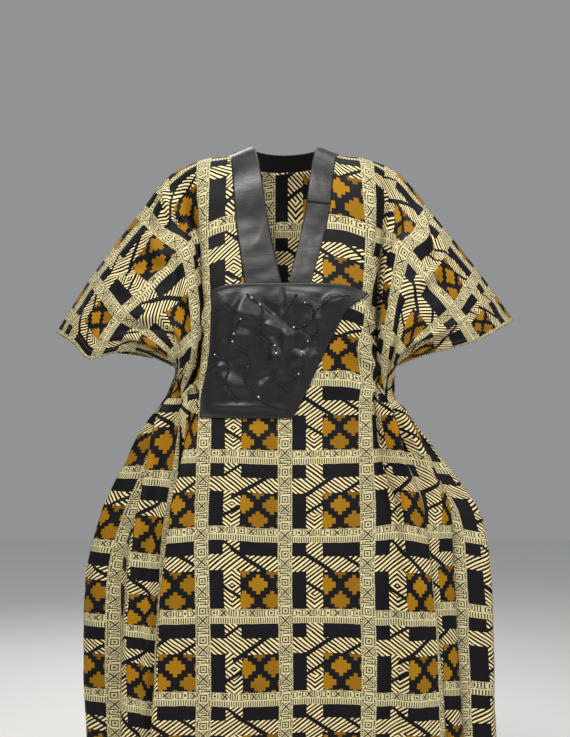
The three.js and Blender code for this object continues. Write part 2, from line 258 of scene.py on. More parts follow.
LAPS = (
    Lap(Side.FRONT, Half.LEFT, 182, 246, 120, 16, 72, 85, 420, 640),
    Lap(Side.FRONT, Half.RIGHT, 250, 300, 120, 14, 50, -36, 560, 820),
    Lap(Side.BACK, Half.LEFT, 230, 270, 120, 16, 60, 30, 420, 700),
    Lap(Side.BACK, Half.RIGHT, 290, 330, 120, 16, 40, 20, 440, 720),
    Lap(Side.FRONT, Half.LEFT, 268, 250, -95, 9, -34, -14, 20, 170, 166, 500),
    Lap(Side.FRONT, Half.RIGHT, 266, 252, -90, 8, -22, -8, 40, 200, 170, 460),
    Lap(Side.BACK, Half.LEFT, 270, 256, -90, 6, -22, 0, 60, 220, 168, 480),
    Lap(Side.BACK, Half.RIGHT, 272, 254, -90, 6, -20, 0, 60, 220, 168, 480),
)
LAP_POCKET = 0.7
# each row: s, t, reach across, reach down, move across, move down
FRONT_PULLS = (
    (158, 330, 36, 30, 9, 6),
    (150, 388, 34, 28, -7, -5),
    (160, 446, 36, 30, 6, 6),
    (112, 420, 26, 22, -5, -8),
    (-176, 296, 26, 26, -9, 6),
    (-182, 356, 28, 26, 12, -8),
    (-188, 420, 30, 26, -12, 8),
    (-196, 486, 34, 30, 9, -8),
    (-250, 90, 30, 26, -8, 8),
    (-330, 190, 34, 30, 8, -7),
    (-360, 330, 40, 30, -10, 8),
    (300, 110, 34, 30, 8, -6),
    (330, 260, 40, 34, -10, 7),
    (400, 330, 40, 30, 9, -6),
    (-70, 1010, 90, 120, 4, 7),
    (60, 1150, 110, 90, -4, -7),
    (190, 960, 70, 120, 5, 9),
    (200, 700, 60, 70, 7, -9),
    (320, 800, 60, 90, -6, 10),
    (150, 1240, 60, 80, 5, 9),
    (-120, 730, 60, 90, -4, -6),
    (-330, 760, 60, 80, 7, 10),
    (-380, 960, 60, 90, -7, -10),
    (0, 620, 90, 60, 0, 4),
)
BACK_PULLS = (
    (190, 380, 36, 30, 9, 7),
    (-186, 390, 36, 30, -9, -7),
    (-320, 210, 40, 34, 9, -6),
    (330, 230, 40, 34, -9, 6),
)
PULLS = tuple(Pull(Side.FRONT, *row) for row in FRONT_PULLS) + tuple(
    Pull(Side.BACK, *row) for row in BACK_PULLS
)
BAND_EDGES = np.array(
    [(0, 103, 66, 66, 99), (140, 89, 36, 39, 79), (285, 70, 5, 5, 44)], float
)
PANEL_EDGES = np.array(
    [
        (286, 128, 138),
        (325, 128, 108),
        (362, 129, 91),
        (400, 130, 73),
        (438, 138, 54),
        (478, 149, 35),
        (519, 150, 14),
    ],
    float,
)
# each row: start (s, t), end (s, t), bow, width, height
FRONT_CREASES = (
    # left sleeve, front: pinches over the arm, pulls from the underarm to the cuff
    ((-236, 20), (-262, 120), 14, 10, 4.5),
    ((-256, 14), (-300, 96), -10, 9, -4.0),
    ((-300, 60), (-352, 190), 12, 13, 3.5),
    ((-392, 70), (-318, 236), 20, 12, -4.5),
    ((-432, 120), (-356, 250), -18, 14, 4.5),
    ((-470, 200), (-372, 290), 14, 11, -4.0),
    ((-330, 150), (-300, 330), -16, 16, -4.5),
    ((-372, 250), (-330, 385), 10, 14, 4.0),
    ((-520, 160), (-430, 330), 12, 16, 3.0),
    ((-500, 300), (-400, 392), -8, 13, -4.0),
    ((-246, 140), (-252, 300), 8, 11, 4.0),
    # right sleeve, front
    ((250, 24), (300, 150), 16, 15, 4.0),
    ((292, 20), (352, 120), -12, 13, -3.5),
    ((350, 70), (300, 260), 18, 15, 4.5),
    ((420, 90), (330, 280), -22, 17, -4.5),
    ((470, 150), (372, 330), 16, 15, 4.5),
    ((530, 190), (420, 360), -14, 16, -4.5),
    ((316, 240), (306, 380), 10, 12, -4.0),
    ((266, 150), (262, 330), -8, 12, 4.0),
    ((440, 330), (350, 398), 10, 12, 3.5),
    # beside the waist panel: crushed cloth under both arms
    ((-150, 300), (-214, 380), 12, 9, 5.0),
    ((-152, 352), (-230, 420), -10, 9, -5.0),
    ((-156, 420), (-252, 452), 12, 10, 4.5),
    ((-172, 470), (-270, 470), -12, 10, -4.5),
    ((-166, 240), (-196, 330), 10, 9, -3.5),
    ((118, 300), (196, 344), -12, 9, 4.5),
    ((122, 338), (206, 396), 12, 9, -4.5),
    ((104, 372), (214, 430), -12, 11, 4.5),
    ((96, 420), (220, 470), 12, 12, -3.5),
    ((140, 200), (170, 330), 10, 10, 3.5),
    ((152, 140), (168, 262), -8, 9, -3.0),
    # chest beside the neckband
    ((-104, 60), (-150, 150), 10, 14, -1.8),
    ((-92, 150), (-146, 232), -8, 14, 1.8),
    ((96, 60), (142, 150), -10, 14, -1.8),
    ((72, 190), (128, 262), 8, 12, 1.8),
    # skirt, front
    ((-92, 540), (-118, 1120), 14, 26, 4.5),
    ((-30, 700), (-44, 1440), -14, 34, -3.5),
    ((52, 560), (66, 1300), 12, 30, 3.5),
    ((118, 530), (140, 980), -12, 20, -4.5),
    ((170, 560), (214, 900), 16, 16, 5.0),
    ((206, 600), (262, 1240), -18, 22, -5.0),
    ((330, 640), (368, 1380), 16, 24, 5.0),
    ((420, 600), (444, 1300), -14, 22, -5.0),
    ((-150, 560), (-188, 1000), -12, 18, 3.5),
    ((-320, 560), (-350, 1280), 18, 24, 5.5),
    ((-396, 620), (-410, 1440), -14, 22, -5.0),
    ((-500, 560), (-514, 1200), 12, 20, 4.0),
    ((-60, 900), (-76, 1440), 10, 24, 3.0),
    ((96, 1040), (104, 1440), -10, 26, -3.5),
    ((-128, 530), (60, 566), 10, 16, -1.6),
)
BACK_CREASES = (
    # back: across the shoulders, sleeves, waist and skirt
    ((-120, 130), (110, 150), 18, 18, -2.5),
    ((-150, 196), (130, 214), -16, 22, 2.5),
    ((-240, 30), (-292, 150), 14, 13, 4.0),
    ((-330, 60), (-286, 220), 18, 14, -4.5),
    ((-420, 100), (-320, 270), -18, 16, 4.5),
    ((-500, 170), (-380, 320), 14, 15, -4.5),
    ((-410, 290), (-330, 392), 10, 13, 4.0),
    ((240, 30), (300, 160), -14, 13, 4.0),
    ((350, 60), (290, 240), 18, 15, -4.5),
    ((430, 110), (330, 290), -18, 16, 4.5),
    ((520, 180), (400, 340), 14, 16, -4.5),
    ((400, 300), (310, 392), -10, 12, 4.0),
    ((-150, 310), (-220, 400), 12, 10, 4.5),
    ((-140, 380), (-236, 440), -12, 10, -4.5),
    ((150, 310), (222, 396), -12, 10, 4.5),
    ((136, 390), (240, 446), 12, 11, -4.5),
    ((-60, 380), (-84, 800), 16, 22, 4.5),
    ((10, 420), (6, 1100), -18, 26, -4.5),
    ((84, 400), (104, 900), 14, 20, 4.5),
    ((-130, 560), (-170, 1300), -16, 26, -4.5),
    ((170, 560), (210, 1300), 16, 24, -4.5),
    ((-300, 600), (-330, 1360), 14, 24, 5.0),
    ((360, 620), (390, 1380), -14, 24, 5.0),
    ((-440, 600), (-460, 1300), 14, 22, -4.5),
    ((470, 600), (484, 1280), -12, 22, -4.5),
    ((40, 900), (52, 1440), 12, 28, 4.0),
)
CREASES = tuple(Crease(Side.FRONT, *row) for row in FRONT_CREASES) + tuple(
    Crease(Side.BACK, *row) for row in BACK_CREASES
)


def hermite(knots: np.ndarray, values: np.ndarray, at: np.ndarray) -> np.ndarray:
    """A smooth curve through values at knots.

    Args:
        knots: rising places of the values, K of them.
        values: K values, or K rows of N points where the values differ from place to place.
        at: N places to read the curve at, held inside the knots.

    Returns:
        The N values, with the trailing axes of values.
    """
    low = np.maximum(np.arange(len(knots)) - 1, 0)
    high = np.minimum(np.arange(len(knots)) + 1, len(knots) - 1)
    gap = (knots[high] - knots[low]).reshape((-1,) + (1,) * (values.ndim - 1))
    slopes = (values[high] - values[low]) / gap
    i = np.clip(np.searchsorted(knots, at, side="left") - 1, 0, len(knots) - 2)
    span = knots[i + 1] - knots[i]
    u = np.clip((at - knots[i]) / span, 0.0, 1.0)
    pick = (lambda a, k: a[k, np.arange(len(at))]) if values.ndim == 3 else (lambda a, k: a[k])
    a, b, da, db = pick(values, i), pick(values, i + 1), pick(slopes, i), pick(slopes, i + 1)
    if a.ndim > 1:
        u, span = u[:, None], span[:, None]
    lift = u * u * (3.0 - 2.0 * u)
    return a + (b - a) * lift + u * (1.0 - u) * ((1.0 - u) * da - u * db) * span


def ease(value: np.ndarray | float, low: float, high: float) -> np.ndarray:
    """A soft step from 0 at low to 1 at high."""
    u = np.clip((np.asarray(value, float) - low) / (high - low), 0.0, 1.0)
    return u * u * (3.0 - 2.0 * u)


def unit(vectors: np.ndarray) -> np.ndarray:
    """The vectors at length one."""
    return vectors / np.maximum(np.linalg.norm(vectors, axis=-1, keepdims=True), 1e-9)


def edge_at(table: np.ndarray, t: np.ndarray | float, column: int) -> np.ndarray:
    """Distance of a cut edge from the centre line.

    Args:
        table: rows of t and the edges' distances.
        t: places down the cut, in any shape.
        column: the edge's column in the table.

    Returns:
        The distance at each place, in millimetres.
    """
    at = np.atleast_1d(np.asarray(t, float))
    return hermite(table[:, 0], table[:, column], at.ravel()).reshape(at.shape)


def band_edge(t: np.ndarray | float, column: int) -> np.ndarray:
    """Distance from the centre line of a neckband edge at t, by its column of BAND_EDGES."""
    return edge_at(BAND_EDGES, t, column)


def panel_edges(t: np.ndarray | float) -> tuple[np.ndarray, np.ndarray]:
    """The waist panel's left and right edges at t, signed."""
    return -edge_at(PANEL_EDGES, t, 1), edge_at(PANEL_EDGES, t, 2)


@dataclass
class Patch:
    """A grid of places on one face of the garment, in millimetres."""

    side: Side
    s: np.ndarray
    t: np.ndarray
    point: np.ndarray
    out: np.ndarray

    def lifted(self, height: np.ndarray | float) -> np.ndarray:
        """The places moved outwards by a height."""
        return self.point + self.out * np.asarray(height, float)[..., None]


@dataclass(frozen=True)
class Drape:
    """The worn form of the cloth: where each point of the flat cut hangs."""

    crumple_height: float = 1.1
    small_gathers: float = 3.0

    def smooth(self, side: Side, s: np.ndarray, t: np.ndarray) -> np.ndarray:
        """The cloth without folds.

        Args:
            side: front or back.
            s: places across the cut, signed.
            t: places down the cut.

        Returns:
            The places in the room, in millimetres.
        """
        shape = s.shape
        flat_s, flat_t = s.ravel(), np.clip(t.ravel(), 0.0, LENGTH)
        across = np.abs(flat_s)
        threads = FRONT_THREADS if side is Side.FRONT else BACK_THREADS
        knots = np.array([thread.s for thread in threads], float)

        def place(key: str) -> np.ndarray:
            """The threads' places at one level, read at every s."""
            return hermite(knots, np.array([getattr(x, key) for x in threads], float), across)

        def own(key: str) -> np.ndarray:
            """What UNEVEN says for each place's half."""
            left, right = (getattr(UNEVEN[half], key) for half in Half)
            return np.where(flat_s < 0, left, right)

        shoulder, chest, bust, arm = (place(key) for key in ("shoulder", "chest", "bust", "arm"))
        end = (across / HALF_WIDTH) ** 3
        beside = np.cos(np.clip((across - SLEEVE_FOLD) / SLEEVE_FOLD, -1, 1) * math.pi / 2) ** 4
        chest[:, 0] += own("chest") * beside
        bust[:, 0] += own("bust") * beside
        arm[:, 0] += own("underarm") * end
        shoulder[:, 2] += own("cuff") * end
        chest[:, 2] += own("cuff") * end
        sleeve = ease(across, 142, SLEEVE_FOLD)
        level_1, level_2 = 0.134 + 0.136 * sleeve, 0.5 + 0.12 * sleeve
        depth_1, depth_2 = 0.5 - 0.06 * sleeve, 0.866 - 0.086 * sleeve
        first = np.stack([level_1, depth_1, level_1], axis=-1)
        second = np.stack([level_2, depth_2, level_2], axis=-1)
        fall = chest - shoulder
        stations = [shoulder, shoulder + fall * first, shoulder + fall * second, chest, bust, arm]
        levels = [0.0, CHEST / 3, CHEST * 2 / 3, CHEST, BUST, OPENING]
        for ring in RINGS:
            v = np.maximum(0.0, (across - ring.turn) / (HALF_WIDTH - ring.turn))
            reach = np.where(flat_s < 0, ring.left, ring.right)
            depth = ring.front if side is Side.FRONT else ring.back
            x = np.minimum(across, ring.turn) + (reach - ring.turn) * np.sin(v * math.pi / 2)
            y = side.value * depth * np.cos(v * math.pi / 2)
            stations.append(np.stack([x, y, ring.z - ring.drop * v * v], axis=-1))
            levels.append(ring.t)
        place_in_room = hermite(np.array(levels, float), np.array(stations), flat_t)
        if side is Side.FRONT:
            u = (flat_t - WAVE_T) / WAVE_REACH
            wave = np.sin(u * math.pi) * np.cos(np.clip(u, -1, 1) * math.pi / 2) ** 2
            place_in_room[:, 2] += WAVE_HEIGHT * ease(across, 400, HALF_WIDTH) * wave * (flat_s < 0)
        place_in_room[:, 0] *= np.where(flat_s < 0, -1.0, 1.0)
        return place_in_room.reshape(shape + (3,))

    def outward(self, side: Side, point: np.ndarray) -> np.ndarray:
        """The directions out of the cloth, for a grid of places.

        Args:
            side: front or back.
            point: rows down the cloth of columns across it.

        Returns:
            A grid of unit vectors.
        """
        across = unit(np.gradient(point, axis=1))
        down = unit(np.gradient(point, axis=0))
        return unit(np.cross(across, down)) * side.value

    def smooth_outward(self, side: Side, s: np.ndarray, t: np.ndarray) -> np.ndarray:
        """The directions out of the cloth without folds, level on the skirt.

        Args:
            side: front or back.
            s: places across the cut, signed.
            t: places down the cut.

        Returns:
            A unit vector at each place.
        """
        step = 3.0
        left, right = np.maximum(s - step, -HALF_WIDTH), np.minimum(s + step, HALF_WIDTH)
        across = unit(self.smooth(side, right, t) - self.smooth(side, left, t))
        down = unit(self.smooth(side, s, t + step) - self.smooth(side, s, t - step))
        out = unit(np.cross(across, down)) * side.value
        out[..., 2] *= 1 - ease(t, BUST, RINGS[1].t)
        return unit(out)

    def folds(
        self, side: Side, s: np.ndarray, t: np.ndarray
    ) -> tuple[np.ndarray, np.ndarray, np.ndarray]:
        """How far gathers and folds move the cloth, and the smooth cloth that it lies on.

        Args:
            side: front or back.
            s: places across the cut, signed.
            t: places down the cut.

        Returns:
            The move outwards in millimetres, and the places across and down the smooth
            cloth, which differ from s and t where a lap runs back under its crest.
        """
        across = np.abs(s)
        out, calm = np.zeros_like(s), np.ones_like(s)
        place_s, place_t = across.copy(), t.copy()
        for fold in FOLDS:
            own = (fold.side is side) & ((s < 0) == (fold.half is Half.LEFT))
            run = np.clip((t - fold.start) / (fold.stop - fold.start), 0, 1)
            u = (across - (fold.s + (fold.to_s - fold.s) * run)) / fold.width
            gone = ease(t, (fold.full + fold.stop) / 2, fold.stop) if fold.stop < LENGTH else 0.0
            strength = ease(t, fold.start, fold.full) * (1 - gone) * own
            out += strength * fold.out * np.cos(np.clip(u, -1, 1) * math.pi / 2) ** 2
        for lap in LAPS:
            own = (lap.side is side) & ((s < 0) == (lap.half is Half.LEFT))
            run = np.clip((t - lap.start) / (min(lap.stop, LENGTH) - lap.start), 0, 1)
            crest = lap.s + (lap.to_s - lap.s) * run
            u = (across - crest) / lap.width
            gone = ease(t, (lap.full + lap.stop) / 2, lap.stop) if lap.stop < LENGTH else 0.0
            strength = ease(t, lap.start, lap.full) * (1 - gone) * own
            turn = crest + 0.6 * lap.width
            far = strength * (1 - ease((across - turn) / (lap.end - turn), 0, 1))
            turned = ease(u, 0, 0.55)
            pocket = far * (1 - (1 + LAP_POCKET) * ease(u, 0.02, 0.5))
            ridge = strength * np.cos(np.clip(u, -1, 1) * math.pi / 2) ** 2
            out += lap.out * np.where(u > 0, pocket, ridge)
            place_s -= far * lap.under * turned
            place_t += far * lap.sag * turned * (1 - t / LENGTH)
            calm *= 1 - strength * (1 - ease(np.abs(u - 0.3), 0.5, 1.1))
        gathered = np.maximum(0.0, (across - GATHER_FROM) / (HALF_WIDTH - GATHER_FROM))
        flat = np.maximum(t, 250.0).ravel()
        depth = hermite(GATHER_DEPTH[:, 0], GATHER_DEPTH[:, 1], flat).reshape(t.shape)
        fade = ease(gathered, 0, 0.12) * (1 - ease(gathered, 0.86, 1)) * calm
        out -= depth * fade * np.sin(gathered * GATHER_WAVES * 2 * math.pi)
        small = np.sin(gathered * 9.3 * 2 * math.pi + 1.7 * np.sin(t / 160.0) + np.sign(s))
        out += self.small_gathers * fade * ease(t, 360, 520) * small * (1 - 0.6 * ease(t, 700, 1200))
        place_s = np.where(s < 0, -place_s, place_s)
        for pull in PULLS:
            near = pull.near(s, t) * (pull.side is side)
            place_s = place_s + pull.move_s * near
            place_t = place_t + pull.move_t * near
        return out, place_s, place_t

    def creases(self, side: Side, s: np.ndarray, t: np.ndarray) -> np.ndarray:
        """The listed creases and the fine crumple between them.

        Args:
            side: front or back.
            s: places across the cut, signed.
            t: places down the cut.

        Returns:
            The lift, in millimetres.
        """
        total = np.zeros_like(s)
        for crease in CREASES:
            if crease.side is side:
                total += crease.rise(s, t)
        crushed = ease(np.abs(s), 110, 190) * (1 - ease(t, 520, 760))
        worn = 0.6 + 2.3 * crushed + 0.6 * ease(t, 560, 800)
        dents = crumple(s, t, 7 + int(side.value))
        return total * (1.15 + 0.85 * crushed) + self.crumple_height * worn * dents

    def patch(self, side: Side, s: np.ndarray, t: np.ndarray) -> Patch:
        """The worn cloth over a grid of the cut.

        Args:
            side: front or back.
            s: grid of places across the cut.
            t: grid of places down the cut.

        Returns:
            The grid's places and their outward directions.
        """
        rise, place_s, place_t = self.folds(side, s, t)
        point = self.smooth(side, place_s, place_t)
        point = point + self.smooth_outward(side, place_s, place_t) * rise[..., None]
        quiet = ease(t, 0, 30) * np.where(t > OPENING, 1 - ease(np.abs(s), 545, 565), 1.0)
        out = self.outward(side, point)
        point = point + out * (self.creases(side, s, t) * quiet)[..., None]
        out = self.outward(side, point)
        on_seam = (t <= 0) | ((np.abs(s) >= HALF_WIDTH) & (t >= OPENING))
        point[..., 1] = np.where(on_seam, side.value * SEAM / 2, point[..., 1])
        out[..., 1] = np.where(on_seam, 0.0, out[..., 1])
        return Patch(side, s, t, point, unit(out))

    def rows(self, side: Side, s: np.ndarray, t: np.ndarray) -> Patch:
        """The worn cloth over rows that run straight across the cut.

        Args:
            side: front or back.
            s: grid of places across the cut.
            t: each row's place down the cut.

        Returns:
            The grid's places and their outward directions.
        """
        return self.patch(side, s, np.broadcast_to(t[:, None], s.shape).copy())


def crumple(s: np.ndarray, t: np.ndarray, seed: int, size: float = 1.0) -> np.ndarray:
    """Small uneven dents, sharp in their troughs, from about -1 to 1.

    Args:
        s: places across the cut.
        t: places down the cut.
        seed: chooses one arrangement.
        size: multiplies the dents' length.

    Returns:
        The dents' height at each place.
    """
    rng = np.random.default_rng(seed)
    total = np.zeros_like(s)
    for wavelength, weight in ((96.0, 1.0), (55.0, 0.6), (31.0, 0.32)):
        for _ in range(4):
            turn, phase, other = rng.uniform(0, math.pi, 3)
            along = (s * math.cos(turn) + t * math.sin(turn)) / (wavelength * size)
            beside = (t * math.cos(turn) - s * math.sin(turn)) / (wavelength * size)
            warp = 1.1 * np.sin(0.7 * math.pi * beside + 2 * other)
            total += weight * (np.abs(np.sin(math.pi * along * 0.5 + phase + warp)) - 0.64)
    return total / 2.4


class Wire:
    """A number that runs through a node tree; arithmetic on it adds Math nodes."""

    def __init__(self, tree: bpy.types.NodeTree, socket: bpy.types.NodeSocket) -> None:
        """Holds one output socket of the tree."""
        self.tree = tree
        self.socket = socket

    def math(self, operation: str, *others: "Wire | float", clamp: bool = False) -> "Wire":
        """One Math node with this number first.

        Args:
            operation: Blender's name of the operation.
            others: the further inputs.
            clamp: holds the result between 0 and 1.

        Returns:
            The result.
        """
        node = self.tree.nodes.new("ShaderNodeMath")
        node.operation = operation
        node.use_clamp = clamp
        for index, value in enumerate((self, *others)):
            if isinstance(value, Wire):
                self.tree.links.new(value.socket, node.inputs[index])
            else:
                node.inputs[index].default_value = float(value)
        return Wire(self.tree, node.outputs[0])

    def __add__(self, other: "Wire | float") -> "Wire":
        """The sum."""
        return self.math("ADD", other)

    def __sub__(self, other: "Wire | float") -> "Wire":
        """The difference."""
        return self.math("SUBTRACT", other)

    def __mul__(self, other: "Wire | float") -> "Wire":
        """The product; of two masks, where both hold."""
        return self.math("MULTIPLY", other)

    def __truediv__(self, other: "Wire | float") -> "Wire":
        """The quotient."""
        return self.math("DIVIDE", other)

    def __mod__(self, other: float) -> "Wire":
        """What is left above the last whole multiple."""
        return self.math("FLOORED_MODULO", other)

    def __lt__(self, other: "Wire | float") -> "Wire":
        """A mask: 1 where less."""
        return self.math("LESS_THAN", other)

    def __gt__(self, other: "Wire | float") -> "Wire":
        """A mask: 1 where greater."""
        return self.math("GREATER_THAN", other)

    def __or__(self, other: "Wire") -> "Wire":
        """Of two masks, where either holds."""
        return self.math("MAXIMUM", other)

    def __abs__(self) -> "Wire":
        """The size without its sign."""
        return self.math("ABSOLUTE")

    def off(self) -> "Wire":
        """A mask turned round."""
        return self.math("MULTIPLY_ADD", -1.0, 1.0)

    def floor(self) -> "Wire":
        """The whole number below."""
        return self.math("FLOOR")

    def within(self, low: float, high: float) -> "Wire":
        """A mask: 1 from low up to high."""
        return (self > low) * (self < high)

    def choose(self, yes: "Wire", no: "Wire") -> "Wire":
        """With this as a mask, yes where it holds and no elsewhere."""
        return self * yes + self.off() * no

    def colour(self, first: "Wire | tuple", second: "Wire | tuple") -> "Wire":
        """With this as a factor, a blend of two colours.

        Args:
            first: the colour at 0.
            second: the colour at 1.

        Returns:
            The blend.
        """
        node = self.tree.nodes.new("ShaderNodeMix")
        node.data_type = "RGBA"
        self.tree.links.new(self.socket, node.inputs["Factor"])
        for value, socket in ((first, node.inputs[6]), (second, node.inputs[7])):
            if isinstance(value, Wire):
                self.tree.links.new(value.socket, socket)
            else:
                socket.default_value = (*value, 1.0)
        return Wire(self.tree, node.outputs[2])


class Group:
    """A shader node group that reads the cut's coordinates, while it is being built."""

    def __init__(self, name: str, inputs: dict[str, float], outputs: dict[str, str]) -> None:
        """Starts an empty group.

        Args:
            name: the group's name.
            inputs: names and values of its float inputs, beside Vector.
            outputs: names and socket types of its outputs.
        """
        self.tree = bpy.data.node_groups.new(name, "ShaderNodeTree")
        face = self.tree.interface
        face.new_socket("Vector", in_out="INPUT", socket_type="NodeSocketVector")
        for label, value in inputs.items():
            face.new_socket(label, in_out="INPUT", socket_type="NodeSocketFloat").default_value = value
        for label, kind in outputs.items():
            face.new_socket(label, in_out="OUTPUT", socket_type=kind)
        self.given = self.tree.nodes.new("NodeGroupInput")
        self.result = self.tree.nodes.new("NodeGroupOutput")
        self.vector = self.given.outputs["Vector"]

    def number(self, label: str) -> Wire:
        """One of its float inputs."""
        return Wire(self.tree, self.given.outputs[label])

    def place(self) -> tuple[Wire, Wire]:
        """The place on the cut.

        Returns:
            Millimetres across and down.
        """
        split = self.tree.nodes.new("ShaderNodeSeparateXYZ")
        self.tree.links.new(self.vector, split.inputs[0])
        across, down = (Wire(self.tree, split.outputs[axis]) * 1000.0 for axis in (0, 1))
        return across, down

    def finish(self, **outputs: Wire) -> bpy.types.NodeTree:
        """Links the results to the outputs.

        Args:
            outputs: a result for each output, by name.

        Returns:
            The group's tree.
        """
        for label, wire in outputs.items():
            self.tree.links.new(wire.socket, self.result.inputs[label])
        return self.tree


def noise(
    tree: bpy.types.NodeTree,
    vector: bpy.types.NodeSocket,
    scale: float,
    detail: float = 2.0,
) -> Wire:
    """A noise texture's value.

    Args:
        tree: the node tree.
        vector: the place that it is read at.
        scale: how fine it is.
        detail: how many finer layers it has.

    Returns:
        The value, from 0 to 1.
    """
    node = tree.nodes.new("ShaderNodeTexNoise")
    node.inputs["Scale"].default_value = scale
    node.inputs["Detail"].default_value = detail
    tree.links.new(vector, node.inputs["Vector"])
    return Wire(tree, node.outputs["Fac"])


@dataclass(frozen=True)
class WaxPrint:
    """The print of the cotton: ruled bands in a grid, slanted stripes and stepped diamonds."""

    repeat_x: float = 142.0
    repeat_y: float = 140.0
    first_row: float = 30.0
    band_x: float = 25.0
    band_y: float = 24.5
    plain_x: float = 49.5
    plain_y: float = 49.0
    stripe_x: float = 78.0
    stripe_y: float = 75.6
    cream: tuple[float, float, float] = (0.73, 0.655, 0.37)
    cream_dim: tuple[float, float, float] = (0.52, 0.455, 0.235)
    gold: tuple[float, float, float] = (0.88, 0.68, 0.32)
    ink: tuple[float, float, float] = (0.014, 0.010, 0.008)
    black: tuple[float, float, float] = (0.0030, 0.0028, 0.0045)
    ochre: tuple[float, float, float] = (0.37, 0.175, 0.002)
    brown: tuple[float, float, float] = (0.120, 0.056, 0.002)
    lattice_x: float = 48.0
    lattice_y: float = 56.0
    block: float = 16.4
    stroke: float = 4.1
    stripe: float = 7.7

    def ruled(self, wide: Wire, along: Wire, width: float) -> Wire:
        """The strokes of a band: rails, ruled bars, nested squares and crossed corners.

        Args:
            wide: place across the band.
            along: place along the band.
            width: the band's width.

        Returns:
            A mask of the dark strokes.
        """
        middle = width / 2
        block = (along / self.block).floor()
        kind = block % 3.0
        beside = abs(wide - middle)
        beyond = abs((along % self.block) - self.block / 2)
        inner = beside < (middle - 3.4)
        fringe = (beside > (middle - 1.6)) * ((along % self.stroke) < 1.7)
        rails = abs(beside - (middle - 2.7)) < 0.6
        broken = ((along + block * 5.0) % 23.0) > 5.5
        bars = (along % self.stroke) < 2.0
        short = ((along / self.stroke).floor() % 2.0).choose(wide > (middle - 3.5), wide < (middle + 3.5))
        squares = (beside.math("MAXIMUM", beyond) % self.stroke) < 2.0
        crossed = ((abs(beside - beyond) % self.stroke) < 1.9) * (beyond < 7.6)
        uprights = (wide % self.stroke) < 2.0
        one = kind.within(-0.5, 0.5)
        two = kind.within(0.5, 1.5)
        body = one * bars * short | two * squares | kind.within(1.5, 2.5) * crossed
        posts = one * short.off() * uprights
        return inner * (body | posts) | rails * broken | fringe

    def striped(self, x: Wire, y: Wire, a: Wire, b: Wire, col: Wire, row: Wire) -> tuple[Wire, Wire]:
        """The slanted stripes, turned into arrowheads, and the black cuts through them.

        Args:
            x: place across the cloth.
            y: place down the cloth; not used.
            a: place across the repeat.
            b: place down the repeat.
            col: the repeat's number across.
            row: the repeat's number down.

        Returns:
            Masks of the light stripes and of the cuts.
        """
        odd = row % 2.0
        odd_col = col % 2.0
        way = odd * 2.0 - 1.0
        crosswise = (col * 2.0 + row) % 3.0
        centre = (self.plain_x + self.stripe_x) / 2
        from_centre = a - centre
        arrow = abs(from_centre)
        in_column = a.within(self.plain_x, self.stripe_x)
        low = b > (self.stripe_y - 2.0)
        second = (b + odd_col * 14.0) > (self.stripe_y + 38.0)
        arrowhead = in_column * low * (second.off() * odd_col | second)
        lean = arrowhead.choose(arrow * (second * 2.0 - 1.0), from_centre * way)
        wavy = abs(((b + x * 0.13) % 46.0) - 23.0) * 0.05
        phase = b + lean * 0.78 + wavy + crosswise * 1.7
        stripes = (phase % self.stripe) < 3.3
        bold = ((phase / self.stripe).floor() % 3.0) < 0.5
        wider = bold * ((phase % self.stripe) < 4.3)
        start = odd_col * 26.0 + 74.0
        cut = abs(b - 62.0 - way * (a - start) * 0.66)
        first = (cut < 4.3) * (abs(a - start) < 38.0)
        second_cut = abs(b - 62.0 - way * (a - start - 62.0) * 0.66) < 3.6
        upper = abs(b - 36.0 - way * from_centre * 0.7) < 3.0
        lower = abs(b - 103.0 - way * from_centre * 0.6 - odd_col * 9.0) < 3.3
        high = b < self.plain_y
        cuts = first | second_cut * (b < self.stripe_y) | upper * in_column * high * odd_col
        return stripes | wider, cuts | lower * in_column * low

    def diamonds(self, a: Wire, b: Wire, shift: Wire) -> tuple[Wire, Wire]:
        """Stepped diamonds in a lattice of two interleaved rows.

        Args:
            a: place across the field.
            b: place down the field.
            shift: moves the lattice, so that neighbouring fields differ.

        Returns:
            A mask of the diamonds, and a number that differs between them.
        """
        masks: list[Wire] = []
        tone: Wire | None = None
        wide, tall = self.lattice_x, self.lattice_y
        for half in (0.0, 0.5):
            u = a + half * wide + shift
            v = b + half * tall
            du = abs((u % wide) - wide / 2)
            dv = abs((v % tall) - tall / 2)
            steps = ((du - 3.4) / 6.4).math("CEIL").math("MAXIMUM", 0.0)
            rows = ((dv - 5.2) / 5.8).math("CEIL").math("MAXIMUM", 0.0)
            here = (steps + rows) < 2.5
            masks.append(here)
            number = ((u / wide).floor() * 2.0 + (v / tall).floor() * 3.0 + half * 4.0) % 5.0
            tone = here * number if tone is None else tone + here * number
        return masks[0] | masks[1], tone / 5.0

